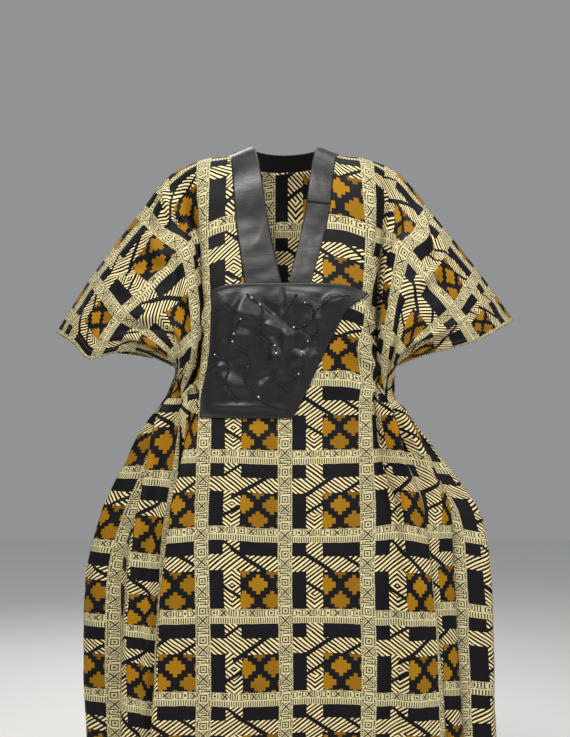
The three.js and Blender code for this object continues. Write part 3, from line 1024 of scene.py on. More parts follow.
    def group(self) -> bpy.types.NodeTree:
        """Builds the print as a node group that reads the cut's own coordinates.

        Returns:
            The group, with a colour and a mask of the inked parts.
        """
        group = Group(
            "wax_print",
            {"Shift": 0.0},
            {"Color": "NodeSocketColor", "Ink": "NodeSocketFloat"},
        )
        tree, vector = group.tree, group.vector
        across, down = group.place()
        wander = noise(tree, vector, 55.0) - 0.5
        waver = noise(tree, vector, 190.0) - 0.5
        x = across + wander * 2.2 + waver * 0.7 + group.number("Shift")
        y = down - wander * 2.0 + waver * 0.6
        col = ((x + self.band_x / 2) / self.repeat_x).floor()
        row = ((y + (self.band_y / 2 - self.first_row)) / self.repeat_y).floor()
        a = (x + self.band_x / 2) % self.repeat_x
        b = (y + (self.band_y / 2 - self.first_row)) % self.repeat_y
        upright = a < self.band_x
        level = b < self.band_y
        stripe_column = a.within(self.plain_x, self.stripe_x)
        stripe_row = b.within(self.plain_y, self.stripe_y) * (a > self.band_x)
        stripes, cuts = self.striped(x, y, a, b, col, row)
        striped = (stripe_column | stripe_row) * stripes * cuts.off()
        field_area = (a > self.stripe_x) * (b > self.stripe_y)
        shift = ((col + row) % 2.0) * (self.lattice_x / 2)
        diamond, tone = self.diamonds(a - 84.0, b - 70.0, shift)
        strokes = self.ruled(a, y, self.band_x)
        comb = b.within(14.6, 24.0) * ((x % 4.0) < 1.9)
        upper = self.ruled(b + 0.6, x, 15.0) * (b < 13.0)
        strokes = upright.choose(strokes, comb | upper)
        band = upright | level
        uneven = noise(tree, vector, 24.0, 3.0)
        fine = noise(tree, vector, 420.0, 2.0)
        paper = uneven.colour(self.cream_dim, self.cream)
        banded = (strokes * 0.94).colour(paper, self.ink)
        warm = ((x * 0.31 + y * 0.23) % 9.0) / 9.0
        striping = warm.colour(self.cream, self.gold)
        ground = striped.colour(self.black, striping)
        dye = (tone * 0.7 + uneven * 0.4).math("ADD", 0.0, clamp=True).colour(self.ochre, self.brown)
        fields = (field_area * diamond).colour(ground, dye)
        printed = band.colour(fields, banded)
        worn = ((fine - 0.5) * 0.5 + 0.1).math("ADD", 0.0, clamp=True)
        faded = worn.colour(printed, self.cream_dim)
        mixed = (worn * 0.12).colour(printed, faded)
        ink = band.choose(strokes, (striped | (field_area * diamond)).off())
        return group.finish(Color=mixed, Ink=ink)


@dataclass(frozen=True)
class Weave:
    """Threads crossing over and under each other, as a height for a bump."""

    def group(self) -> bpy.types.NodeTree:
        """Builds the weave's node group.

        Returns:
            The group, with a height and a shade that varies thread by thread.
        """
        group = Group(
            "weave",
            {"Pitch": 0.6},
            {"Height": "NodeSocketFloat", "Shade": "NodeSocketFloat"},
        )
        across, down = group.place()
        warp, weft = across / group.number("Pitch"), down / group.number("Pitch")
        over = ((warp.floor() + weft.floor()) % 2.0) > 0.5
        bow_warp = ((warp % 1.0) * math.pi).math("SINE")
        bow_weft = ((weft % 1.0) * math.pi).math("SINE")
        height = over.choose(bow_warp, bow_weft)
        return group.finish(Height=height, Shade=noise(group.tree, group.vector, 900.0, 1.0))


@dataclass(frozen=True)
class Rumple:
    """Shallow handling marks in pressed cloth, as a height for a bump; their ridges also mark where the
    satin's colour gets painted sheen.
    """

    def group(self) -> bpy.types.NodeTree:
        """Builds the node group of handling marks.

        Returns:
            The group, with a height and a mask of the rubbed ridges.
        """
        group = Group(
            "rumple",
            {"Size": 30.0},
            {"Height": "NodeSocketFloat", "Ridge": "NodeSocketFloat"},
        )
        broad = group.tree.nodes.new("ShaderNodeTexNoise")
        broad.noise_type = "RIDGED_MULTIFRACTAL"
        broad.inputs["Detail"].default_value = 3.0
        broad.inputs["Distortion"].default_value = 0.6
        group.tree.links.new(group.vector, broad.inputs["Vector"])
        group.tree.links.new(group.given.outputs["Size"], broad.inputs["Scale"])
        height = Wire(group.tree, broad.outputs["Fac"])
        # This ridge mask paints sheen into the satin's colour: lighter where the ridges would catch the
        # light.
        ridge = ((height - 0.55) * 2.0).math("ADD", 0.0, clamp=True)
        return group.finish(Height=height, Ridge=ridge)


@dataclass(frozen=True)
class Streaks:
    """The slubs of satin: fine uneven threads that run across the cloth."""

    across: float = 26.0
    down: float = 640.0

    def group(self) -> bpy.types.NodeTree:
        """Builds the node group of slubs.

        Returns:
            The group, with a height from 0 to 1. The satin also uses it for its roughness and for painted
            sheen, a lighter colour along the slubs.
        """
        group = Group("streaks", {}, {"Height": "NodeSocketFloat"})
        tree = group.tree
        scaled = tree.nodes.new("ShaderNodeVectorMath")
        scaled.operation = "MULTIPLY"
        tree.links.new(group.vector, scaled.inputs[0])
        scaled.inputs[1].default_value = (self.across, self.down, 0.0)
        return group.finish(Height=noise(tree, scaled.outputs[0], 1.0, 3.0))


@dataclass(frozen=True)
class Finish:
    """Colour and roughness of a plain material."""

    name: str
    colour: tuple[float, float, float]
    roughness: float


BLACK_THREAD = Finish("black_thread", (0.02, 0.019, 0.022), 0.55)
HEM_THREAD = Finish("hem_thread", (0.10, 0.075, 0.03), 0.6)
JET_BEAD = Finish("jet_bead", (0.004, 0.004, 0.006), 0.11)
# Clear beads are real, but they are not made see-through: their near-white colour is a painted glint, the
# brightness of clear glass in the light.
CLEAR_BEAD = Finish("clear_bead", (0.78, 0.79, 0.82), 0.08)
# The satin's near-black colour, and the dark grey of its painted sheen.
SATIN_AND_SHEEN_COLOURS = ((0.0016, 0.0016, 0.0021), (0.015, 0.0147, 0.0163))
FLOOR_COLOURS = ((0.76, 0.76, 0.75), (0.80, 0.80, 0.79))


class Finishes:
    """The materials of the garment and of the floor, with the groups that they share."""

    def __init__(self) -> None:
        """Builds the shared groups and every material."""
        self.print_group = WaxPrint().group()
        self.weave = Weave().group()
        self.rumple = Rumple().group()
        self.streaks = Streaks().group()
        self.cotton = self._cotton("wax_cotton", 0.0)
        self.cotton_back = self._cotton("wax_cotton_back", 31.0)
        self.satin = self._satin()
        self.thread = self._plain(BLACK_THREAD)
        self.gold_thread = self._plain(HEM_THREAD)
        self.jet = self._bead(JET_BEAD)
        self.clear = self._bead(CLEAR_BEAD)
        self.floor = self._floor()

    def _start(self, name: str) -> tuple[bpy.types.Material, bpy.types.NodeTree, bpy.types.Node]:
        """A new material.

        Args:
            name: its name.

        Returns:
            The material, its tree and its Principled shader.
        """
        material = bpy.data.materials.new(name)
        material.use_nodes = True
        tree = material.node_tree
        return material, tree, tree.nodes["Principled BSDF"]

    def _cut_coordinates(self, tree: bpy.types.NodeTree) -> bpy.types.NodeSocket:
        """The cut's coordinates, from the mesh's UV map.

        Args:
            tree: the material's tree.

        Returns:
            The coordinates, in metres.
        """
        node = tree.nodes.new("ShaderNodeUVMap")
        node.uv_map = "cut"
        return node.outputs["UV"]

    def _group(self, tree: bpy.types.NodeTree, group: bpy.types.NodeTree, **values: float) -> bpy.types.Node:
        """Places a shared group in a material, reading the cut's coordinates.

        Args:
            tree: the material's tree.
            group: the shared group.
            values: its inputs by name.

        Returns:
            The group's node.
        """
        node = tree.nodes.new("ShaderNodeGroup")
        node.node_tree = group
        tree.links.new(self._cut_coordinates(tree), node.inputs["Vector"])
        for label, value in values.items():
            node.inputs[label].default_value = value
        return node

    def _bump(
        self,
        tree: bpy.types.NodeTree,
        heights: list[tuple[bpy.types.NodeSocket, float, float]],
        shader: bpy.types.Node,
    ) -> None:
        """Chains bumps into a shader's normal.

        Args:
            tree: the material's tree.
            heights: each height with its strength and its depth in metres.
            shader: the shader that gets the normal.
        """
        before = None
        for height, strength, distance in heights:
            node = tree.nodes.new("ShaderNodeBump")
            node.inputs["Strength"].default_value = strength
            node.inputs["Distance"].default_value = distance
            tree.links.new(height, node.inputs["Height"])
            if before:
                tree.links.new(before, node.inputs["Normal"])
            before = node.outputs["Normal"]
        tree.links.new(before, shader.inputs["Normal"])

    def _cotton(self, name: str, shift: float) -> bpy.types.Material:
        """Printed wax cotton: crisp, with a slight sheen on its inked parts.

        Args:
            name: the material's name.
            shift: moves the print across the cut, in millimetres.

        Returns:
            The material.
        """
        material, tree, shader = self._start(name)
        printed = self._group(tree, self.print_group, Shift=shift)
        woven = self._group(tree, self.weave, Pitch=0.55)
        marks = self._group(tree, self.rumple, Size=26.0)
        tree.links.new(printed.outputs["Color"], shader.inputs["Base Color"])
        ink = Wire(tree, printed.outputs["Ink"])
        rough = (ink * -0.12) + 0.66 + Wire(tree, woven.outputs["Shade"]) * 0.08
        tree.links.new(rough.socket, shader.inputs["Roughness"])
        shader.inputs["Specular IOR Level"].default_value = 0.15
        self._bump(
            tree,
            [(marks.outputs["Height"], 0.6, 0.0013), (woven.outputs["Height"], 0.35, 0.00012)],
            shader,
        )
        return material

    def _satin(self) -> bpy.types.Material:
        """Black dull satin: dark, with broad soft gloss along its creases, and painted sheen: its colour is
        lighter on its ridges and along its slubs.

        Returns:
            The material.
        """
        material, tree, shader = self._start("black_satin")
        woven = self._group(tree, self.weave, Pitch=0.35)
        marks = self._group(tree, self.rumple, Size=34.0)
        streaks = self._group(tree, self.streaks)
        silk = Wire(tree, streaks.outputs["Height"])
        ridge = Wire(tree, marks.outputs["Ridge"])
        # Painted sheen: the base colour goes from near black to dark grey on the ridges and along the slubs,
        # where the lights would glint.
        gloss = (ridge * 0.25 + (silk - 0.35) * 1.5).math("ADD", 0.0, clamp=True)
        colour = gloss.colour(*SATIN_AND_SHEEN_COLOURS)
        tree.links.new(colour.socket, shader.inputs["Base Color"])
        rough = silk * -0.24 + 0.52
        tree.links.new(rough.socket, shader.inputs["Roughness"])
        shader.inputs["Specular IOR Level"].default_value = 0.45
        self._bump(
            tree,
            [
                (marks.outputs["Height"], 0.4, 0.0011),
                (streaks.outputs["Height"], 0.5, 0.0004),
                (woven.outputs["Height"], 0.25, 0.00008),
            ],
            shader,
        )
        return material

    def _plain(self, finish: Finish) -> bpy.types.Material:
        """Sewing thread: twisted, with a small change of shade along it.

        Args:
            finish: its name, colour and roughness.

        Returns:
            The material.
        """
        material, tree, shader = self._start(finish.name)
        place = tree.nodes.new("ShaderNodeTexCoord").outputs["Object"]
        light = tuple(1.9 * c for c in finish.colour)
        shade = noise(tree, place, 1400.0, 2.0).colour(finish.colour, light)
        tree.links.new(shade.socket, shader.inputs["Base Color"])
        shader.inputs["Roughness"].default_value = finish.roughness
        self._bump(tree, [(noise(tree, place, 2600.0, 1.0).socket, 0.5, 0.0001)], shader)
        return material

    def _bead(self, finish: Finish) -> bpy.types.Material:
        """A faceted bead, glossy and a little uneven from bead to bead.

        Args:
            finish: its name, colour and roughness.

        Returns:
            The material.
        """
        material, tree, shader = self._start(finish.name)
        place = tree.nodes.new("ShaderNodeTexCoord").outputs["Object"]
        light = tuple(min(1.0, 1.4 * c) for c in finish.colour)
        shade = noise(tree, place, 260.0, 1.0).colour(finish.colour, light)
        tree.links.new(shade.socket, shader.inputs["Base Color"])
        shader.inputs["Roughness"].default_value = finish.roughness
        shader.inputs["Specular IOR Level"].default_value = 0.8
        shader.inputs["Coat Weight"].default_value = 0.6
        return material

    def _floor(self) -> bpy.types.Material:
        """A pale matt floor with a faint mottle.

        Returns:
            The material.
        """
        material, tree, shader = self._start("pale_floor")
        place = tree.nodes.new("ShaderNodeTexCoord").outputs["Object"]
        mottle = noise(tree, place, 3.0, 3.0).colour(*FLOOR_COLOURS)
        tree.links.new(mottle.socket, shader.inputs["Base Color"])
        shader.inputs["Roughness"].default_value = 0.8
        return material


def make_mesh(
    name: str,
    vertices: np.ndarray,
    faces: list[tuple[int, ...]] | np.ndarray,
    material: bpy.types.Material,
    uv: np.ndarray | None = None,
    flat_from: int | None = None,
) -> bpy.types.Object:
    """A mesh object that rides on the garment's only body.

    Args:
        name: the piece's name.
        vertices: places in millimetres.
        faces: corners of each face.
        material: its finish.
        uv: the cut's coordinates of each vertex, in millimetres.
        flat_from: number of the first face that is shaded flat; the others are smooth.

    Returns:
        The object, linked into the scene.
    """
    mesh = bpy.data.meshes.new(name)
    mesh.from_pydata((vertices * MM).tolist(), [], [list(map(int, face)) for face in faces])
    smooth = np.ones(len(mesh.polygons), bool)
    if flat_from is not None:
        smooth[flat_from:] = False
    mesh.polygons.foreach_set("use_smooth", smooth)
    if uv is not None:
        layer = mesh.uv_layers.new(name="cut")
        corner = np.empty(len(mesh.loops), np.int64)
        mesh.loops.foreach_get("vertex_index", corner)
        layer.data.foreach_set("uv", (uv[corner] * MM).astype(np.float32).ravel())
    mesh.materials.append(material)
    mesh.update()
    piece = bpy.data.objects.new(name, mesh)
    bpy.context.scene.collection.objects.link(piece)
    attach(piece, "root")
    LOG.info("%s: %d faces", name, len(mesh.polygons))
    return piece


def make_shell(
    name: str,
    patch: Patch,
    keep: np.ndarray,
    outer: np.ndarray | float,
    inner: np.ndarray | float,
    material: bpy.types.Material,
) -> bpy.types.Object:
    """A thin closed shell over a patch of cloth.

    Args:
        name: the piece's name.
        patch: the patch.
        keep: which of its grid points exist.
        outer: height of the outer face over the patch, in millimetres.
        inner: height of the inner face.
        material: the cloth's finish.

    Returns:
        The shell.
    """
    count = keep.size
    number = np.arange(count).reshape(keep.shape)
    full = keep[:-1, :-1] & keep[1:, :-1] & keep[:-1, 1:] & keep[1:, 1:]
    a, b = number[:-1, :-1], number[1:, :-1]
    c, d = number[1:, 1:], number[:-1, 1:]
    outside = np.stack([a, b, c, d], axis=-1)[full]
    if patch.side is Side.BACK:
        outside = outside[:, ::-1]
    faces = [outside, outside[:, ::-1] + count]
    padded = np.pad(full, 1)
    open_left = full & ~padded[1:-1, :-2]
    open_right = full & ~padded[1:-1, 2:]
    open_top = full & ~padded[:-2, 1:-1]
    open_low = full & ~padded[2:, 1:-1]
    rims = ((open_left, a, b), (open_low, b, c), (open_right, c, d), (open_top, d, a))
    for mask, first, second in rims:
        rim = np.stack([first, first + count, second + count, second], axis=-1)[mask]
        faces.append(rim[:, ::-1] if patch.side is Side.BACK else rim)
    vertices = np.concatenate([patch.lifted(face).reshape(-1, 3) for face in (outer, inner)])
    cut = np.stack([patch.s.ravel(), patch.t.ravel()], axis=-1)
    all_faces = np.concatenate(faces)
    used = np.unique(all_faces)
    renumber = np.zeros(2 * count, np.int64)
    renumber[used] = np.arange(len(used))
    return make_mesh(
        name,
        vertices[used],
        renumber[all_faces],
        material,
        np.concatenate([cut, cut])[used],
        2 * len(outside),
    )


def make_cover(
    name: str,
    patch: Patch,
    height: np.ndarray,
    thickness: float,
    material: bpy.types.Material,
) -> bpy.types.Object:
    """A shell laid on a patch of cloth, with its middle at a height over it.

    Args:
        name: the piece's name.
        patch: the cloth underneath.
        height: height of the shell's middle, in millimetres.
        thickness: its wall.
        material: its finish.

    Returns:
        The shell.
    """
    keep = np.ones(patch.s.shape, bool)
    return make_shell(name, patch, keep, height + thickness / 2, height - thickness / 2, material)


def spread(t: np.ndarray, *stops: tuple[float | np.ndarray, int]) -> np.ndarray:
    """Places across the cut for each row, with even steps between stops.

    Args:
        t: the rows' distances.
        stops: each place, constant or by row, with the number of steps that follow it.

    Returns:
        Rows by columns of s.
    """
    parts = []
    for (low, steps), (high, _) in zip(stops, stops[1:]):
        first = np.broadcast_to(np.asarray(low, float), t.shape)[:, None]
        last = np.broadcast_to(np.asarray(high, float), t.shape)[:, None]
        parts.append(first + (last - first) * (np.arange(steps) / steps)[None, :])
    parts.append(np.broadcast_to(np.asarray(stops[-1][0], float), t.shape)[:, None])
    return np.concatenate(parts, axis=1)


@dataclass
class PrintedPanels:
    """Front and back of printed cotton, each with its two half sleeves cut in one."""

    drape: Drape
    finishes: Finishes
    thickness: float = 0.7
    hem_fold: float = 0.9
    hip: float = 640.0
    rows: tuple[int, int, int] = (50, 62, 94)
    front_columns: tuple[int, int, int] = (98, 22, 102)
    side_points: int = 92
    neck_points: int = 43
    neck_reach: float = 70.0

    def _levels(self) -> np.ndarray:
        """Distances of the rows down the cloth, closer together above the hip.

        Returns:
            The rows' t, to the point of the V, on to the hip and on to the hem.
        """
        upper = np.linspace(0.0, NECK_V, self.rows[0], endpoint=False)
        middle = np.linspace(NECK_V, self.hip, self.rows[1], endpoint=False)
        return np.concatenate([upper, middle, np.linspace(self.hip, LENGTH, self.rows[2])])

    def _inner(self, patch: Patch) -> np.ndarray:
        """Height of the inner face, lower where a hem is turned up.

        Args:
            patch: the panel's cloth.

        Returns:
            The height over the patch, in millimetres.
        """
        cuff = ease(np.abs(patch.s), HALF_WIDTH - HEM - 2, HALF_WIDTH - HEM + 2)
        cuff = cuff * (patch.t < OPENING - 4)
        foot = ease(patch.t, LENGTH - HEM - 4, LENGTH - HEM)
        return -self.thickness / 2 - self.hem_fold * np.maximum(cuff, foot)

    def front(self) -> bpy.types.Object:
        """Makes the front panel, open in a V.

        Returns:
            The piece.
        """
        t = self._levels()
        low = np.minimum(t, NECK_V)
        left = -band_edge(low, 1) - SEAM
        right = band_edge(low, 4) + SEAM
        beside, between, beyond = self.front_columns
        s = spread(t, (-HALF_WIDTH, beside), (left, between), (right, beyond), (HALF_WIDTH, 0))
        patch = self.drape.rows(Side.FRONT, s, t)
        keep = np.ones(s.shape, bool)
        keep[t < NECK_V - 0.01, beside + 1 : beside + between] = False
        piece = make_shell(
            "front_cloth", patch, keep, self.thickness / 2, self._inner(patch), self.finishes.cotton
        )
        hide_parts("front_panel")
        return piece

    def back(self) -> bpy.types.Object:
        """Makes the back panel, hollowed at the neck.

        Returns:
            The piece.
        """
        t = self._levels()
        straight = self.side_points
        neck = {-1: band_edge(0, 1)[0] + SEAM, 1: band_edge(0, 4)[0] + SEAM}
        angles = np.linspace(-math.pi / 2, math.pi / 2, self.neck_points + 2)[1:-1]
        half = np.where(angles < 0, neck[-1], neck[1])
        across = np.concatenate(
            [
                np.linspace(-HALF_WIDTH, -neck[-1], straight),
                half * np.sin(angles),
                np.linspace(neck[1], HALF_WIDTH, straight),
            ]
        )
        dip = np.pad(BACK_NECK * np.cos(angles), straight)
        s = np.broadcast_to(across, (len(t), len(across))).copy()
        grid_t = dip + (LENGTH - dip) * (t[:, None] / LENGTH)
        patch = self.drape.patch(Side.BACK, s, grid_t)
        inside = slice(straight, straight + self.neck_points)
        edge, out = NeckBand.back_neck(angles, True)
        away = (1 - ease(t, 0, self.neck_reach))[:, None, None]
        patch.point[:, inside] += away * (edge - patch.point[0, inside])
        patch.out[:, inside] = unit(patch.out[:, inside] * (1 - away**3) + out * away**3)
        piece = make_shell(
            "back_cloth",
            patch,
            np.ones(s.shape, bool),
            self.thickness / 2,
            self._inner(patch),
            self.finishes.cotton_back,
        )
        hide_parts("back_panel")
        return piece


@dataclass
class NeckBand:
    """Black satin facing round the neck: left front, right front below the lap, and back."""

    drape: Drape
    finishes: Finishes
    thickness: float = 1.3
    lift: float = 0.45
    overlap: float = 1.6
    columns: int = 18
    round_rows: int = 60
    lap_rows: int = 56

    @staticmethod
    def back_neck(angles: np.ndarray, outer: bool) -> tuple[np.ndarray, np.ndarray]:
        """The band's edge behind the neck.

        Args:
            angles: turns round the neck, from the left neck point to the right one.
            outer: the edge sewn to the cotton; otherwise the free edge.

        Returns:
            The edge's places and the outward directions there.
        """

        def edge(outside: bool) -> np.ndarray:
            """One edge's places.

            Args:
                outside: the edge sewn to the cotton; otherwise the free edge.

            Returns:
                One place for each angle.
            """
            left, right = (1, 4) if outside else (2, 3)
            s = np.where(angles < 0, band_edge(0, left)[0], band_edge(0, right)[0])
            neck = Drape().smooth(Side.FRONT, s, np.zeros_like(s))
            depth, fall = (80.0, 22.0) if outside else (55.0, 6.0)
            return np.stack(
                [neck[:, 0] * np.sin(angles), depth * np.cos(angles), neck[:, 2] - fall * np.cos(angles)],
                axis=-1,
            )

        along = np.stack([np.cos(angles), -np.sin(angles), np.zeros_like(angles)], axis=-1)
        out = unit(np.cross(along, edge(True) - edge(False)))
        out = out * np.where(out[:, 2:] < 0, -1.0, 1.0)
        return edge(outer), out

    def _creased(self, patch: Patch, seed: int, height: float) -> np.ndarray:
        """Height of the band's own small creases, none at its two long edges.

        Args:
            patch: the cloth under the band.
            seed: chooses one arrangement.
            height: multiplies the crumple.

        Returns:
            The height, in millimetres.
        """
        width = patch.s.shape[1]
        edge = np.sin(np.linspace(0, math.pi, width))[None, :] ** 0.6
        spots = ease(np.sin(patch.t / 47.0 + seed), 0.2, 1.0)
        pulls = np.sin(patch.t / 6.5 + 0.05 * patch.s + seed) * spots
        return edge * (height * (crumple(patch.s, patch.t, seed, 0.55) + 0.6) + 0.35 * pulls)

    def _front_strip(
        self, name: str, half: Half, start: float, stop: float, seed: int
    ) -> bpy.types.Object:
        """One front strip, as a shell.

        Args:
            name: the piece's name.
            half: the side of the V that it lies on.
            start: its upper end down the cut.
            stop: its lower end.
            seed: chooses the arrangement of its creases.

        Returns:
            The shell.
        """
        t = np.linspace(start, stop, max(30, int((stop - start) / 2.6)))
        inner, outer = (2, 1) if half is Half.LEFT else (3, 4)
        near = band_edge(t, inner)
        far = band_edge(t, outer) + self.overlap
        sign = half.value
        first, last = (sign * far, sign * near) if half is Half.LEFT else (sign * near, sign * far)
        patch = self.drape.rows(Side.FRONT, spread(t, (first, self.columns), (last, 0)), t)
        height = self.lift + self._creased(patch, seed, 0.9)
        return make_cover(name, patch, height, self.thickness, self.finishes.satin)

    def left(self) -> bpy.types.Object:
        """Makes the left front band.

        Returns:
            The piece.
        """
        piece = self._front_strip("band_left", Half.LEFT, 0.0, NECK_V - SEAM, 3)
        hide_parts("neckband_left")
        return piece

    def right(self) -> bpy.types.Object:
        """Makes the right front band, below the lap.

        Returns:
            The piece.
        """
        piece = self._front_strip("band_right", Half.RIGHT, BAND_LAP - 3.0, NECK_V - SEAM, 5)
        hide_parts("neckband_right")
        return piece

    def back(self) -> bpy.types.Object:
        """Makes the band behind the neck and over the right shoulder down to the lap.

        Returns:
            The piece.
        """
        angles = np.linspace(-math.pi / 2, math.pi / 2, self.round_rows + 1)[:-1]
        inner, out = self.back_neck(angles, False)
        outer, _ = self.back_neck(angles, True)
        outward = unit(np.stack([np.sin(angles), np.cos(angles), np.zeros_like(angles)], axis=-1))
        outer = outer + outward * self.overlap
        share = np.linspace(0, 1, self.columns + 1)[None, :, None]
        round_point = inner[:, None] + (outer - inner)[:, None] * share
        round_out = np.broadcast_to(out[:, None], round_point.shape).copy()
        round_point[0, :, 1] = SEAM / 2
        round_out[0, :, 1] = 0.0
        t = np.linspace(0.0, BAND_LAP, self.lap_rows)
        s = spread(t, (band_edge(t, 3), self.columns), (band_edge(t, 4) + self.overlap, 0))
        front = self.drape.rows(Side.FRONT, s, t)
        point = np.concatenate([round_point, front.point])
        direction = unit(np.concatenate([round_out, front.out]))
        path_t = np.concatenate([np.linspace(-235.0, -4.0, len(angles)), t])
        grid_t = np.broadcast_to(path_t[:, None], point.shape[:2]).copy()
        grid_s = np.concatenate([np.broadcast_to(s[0], (len(angles), s.shape[1])), s])
        patch = Patch(Side.FRONT, grid_s, grid_t, point, direction)
        height = self.lift + self._creased(patch, 8, 0.8) + 0.9 * ease(path_t, 120, 145)[:, None]
        piece = make_cover("band_back", patch, height, self.thickness, self.finishes.satin)
        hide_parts("neckband_back")
        return piece


@dataclass
class WaistPanel:
    """Black satin panel sewn flat over the waist, crushed a little between its edges."""

    drape: Drape
    finishes: Finishes
    thickness: float = 1.0
    lift: float = 1.9
    tuck: float = 1.5
    row_count: int = 104
    columns: int = 100
    creases: tuple[Crease, ...] = tuple(
        Crease(Side.FRONT, *row)
        for row in (
            ((-96, 326), (-22, 404), 12, 17, 5.6),
            ((-60, 300), (-94, 396), -8, 14, 4.4),
            ((-34, 352), (6, 404), 9, 12, 5.6),
            ((-30, 380), (-14, 456), 6, 13, 5.4),
            ((-108, 384), (-50, 356), 6, 12, -3.0),
            ((-124, 424), (-40, 474), -12, 16, 5.0),
            ((16, 476), (60, 408), 9, 15, 5.2),
            ((0, 436), (42, 376), -9, 13, 4.4),
            ((50, 318), (18, 396), 9, 16, 4.8),
            ((108, 298), (58, 354), -7, 13, 3.8),
            ((-3, 288), (-6, 340), 0, 4, -2.6),
            ((-70, 292), (66, 300), 5, 7, 1.8),
            ((-142, 500), (4, 508), 6, 7, 2.4),
            ((-146, 436), (-92, 426), 4, 5, 3.4),
            ((-112, 330), (-118, 410), -5, 8, 3.4),
            ((-60, 478), (-20, 440), 6, 7, -3.0),
            ((-40, 316), (-8, 344), -4, 6, -2.4),
        )
    )

    def height(self, s: np.ndarray, t: np.ndarray) -> np.ndarray:
        """How far the panel's middle stands off the cotton.

        Args:
            s: places across the cut.
            t: places down the cut.

        Returns:
            The height, in millimetres.
        """
        left, right = panel_edges(np.clip(t, NECK_V, PANEL_BOTTOM))
        near = np.minimum(np.minimum(s - left, right - s), np.minimum(t - NECK_V, PANEL_BOTTOM - t))
        loose = ease(near, 2.0, 22.0)
        total = sum(crease.rise(s, t) for crease in self.creases)
        soft = 1.5 * total + 3.4 * (crumple(s, t, 21, 0.9) + 0.55)
        return self.lift + loose * np.maximum(soft, -0.6) + 0.5 * (1 - ease(near, 0.0, 7.0))

    def build(self) -> bpy.types.Object:
        """Makes the panel.

        Returns:
            The piece.
        """
        t = np.linspace(NECK_V - self.tuck, PANEL_BOTTOM, self.row_count)
        left, right = panel_edges(np.clip(t, NECK_V, PANEL_BOTTOM))
        patch = self.drape.rows(Side.FRONT, spread(t, (left, self.columns), (right, 0)), t)
        height = self.height(patch.s, patch.t)
        piece = make_cover("panel_cloth", patch, height, self.thickness, self.finishes.satin)
        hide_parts("waist_panel")
        return piece


def path_points(stops: list[tuple[float, float]], pitch: float) -> np.ndarray:
    """Places at even distances along a smooth line through stops of the cut.

    Args:
        stops: (s, t) places that the line goes through.
        pitch: distance between neighbouring places.

    Returns:
        The places, one (s, t) row each.
    """
    given = np.array(stops, float)
    reach = np.concatenate([[0.0], np.cumsum(np.hypot(*np.diff(given, axis=0).T))])
    dense = np.linspace(0.0, reach[-1], 400)
    line = hermite(reach, given, dense)
    run = np.concatenate([[0.0], np.cumsum(np.hypot(*np.diff(line, axis=0).T))])
    at = np.arange(0.0, run[-1], pitch)
    return np.stack([np.interp(at, run, line[:, 0]), np.interp(at, run, line[:, 1])], axis=-1)


def places_on(drape: Drape, side: Side, cut: np.ndarray) -> tuple[np.ndarray, np.ndarray]:
    """Where places of the cut hang, and the outward directions there.

    Args:
        drape: the worn form.
        side: front or back.
        cut: one (s, t) row for each place.

    Returns:
        Places and unit vectors.
    """
    steps = np.array([-2.0, 0.0, 2.0])
    s = cut[:, 0][:, None, None] + steps[None, None, :]
    t = cut[:, 1][:, None, None] + steps[None, :, None]
    s, t = np.broadcast_arrays(s, t)
    stack_s = s.reshape(-1, 3)
    stack_t = t.reshape(-1, 3)
    points, outs = [], []
    for k in range(len(cut)):
        patch = drape.patch(side, stack_s[3 * k : 3 * k + 3], stack_t[3 * k : 3 * k + 3])
        points.append(patch.point[1, 1])
        outs.append(patch.out[1, 1])
    return np.array(points), np.array(outs)


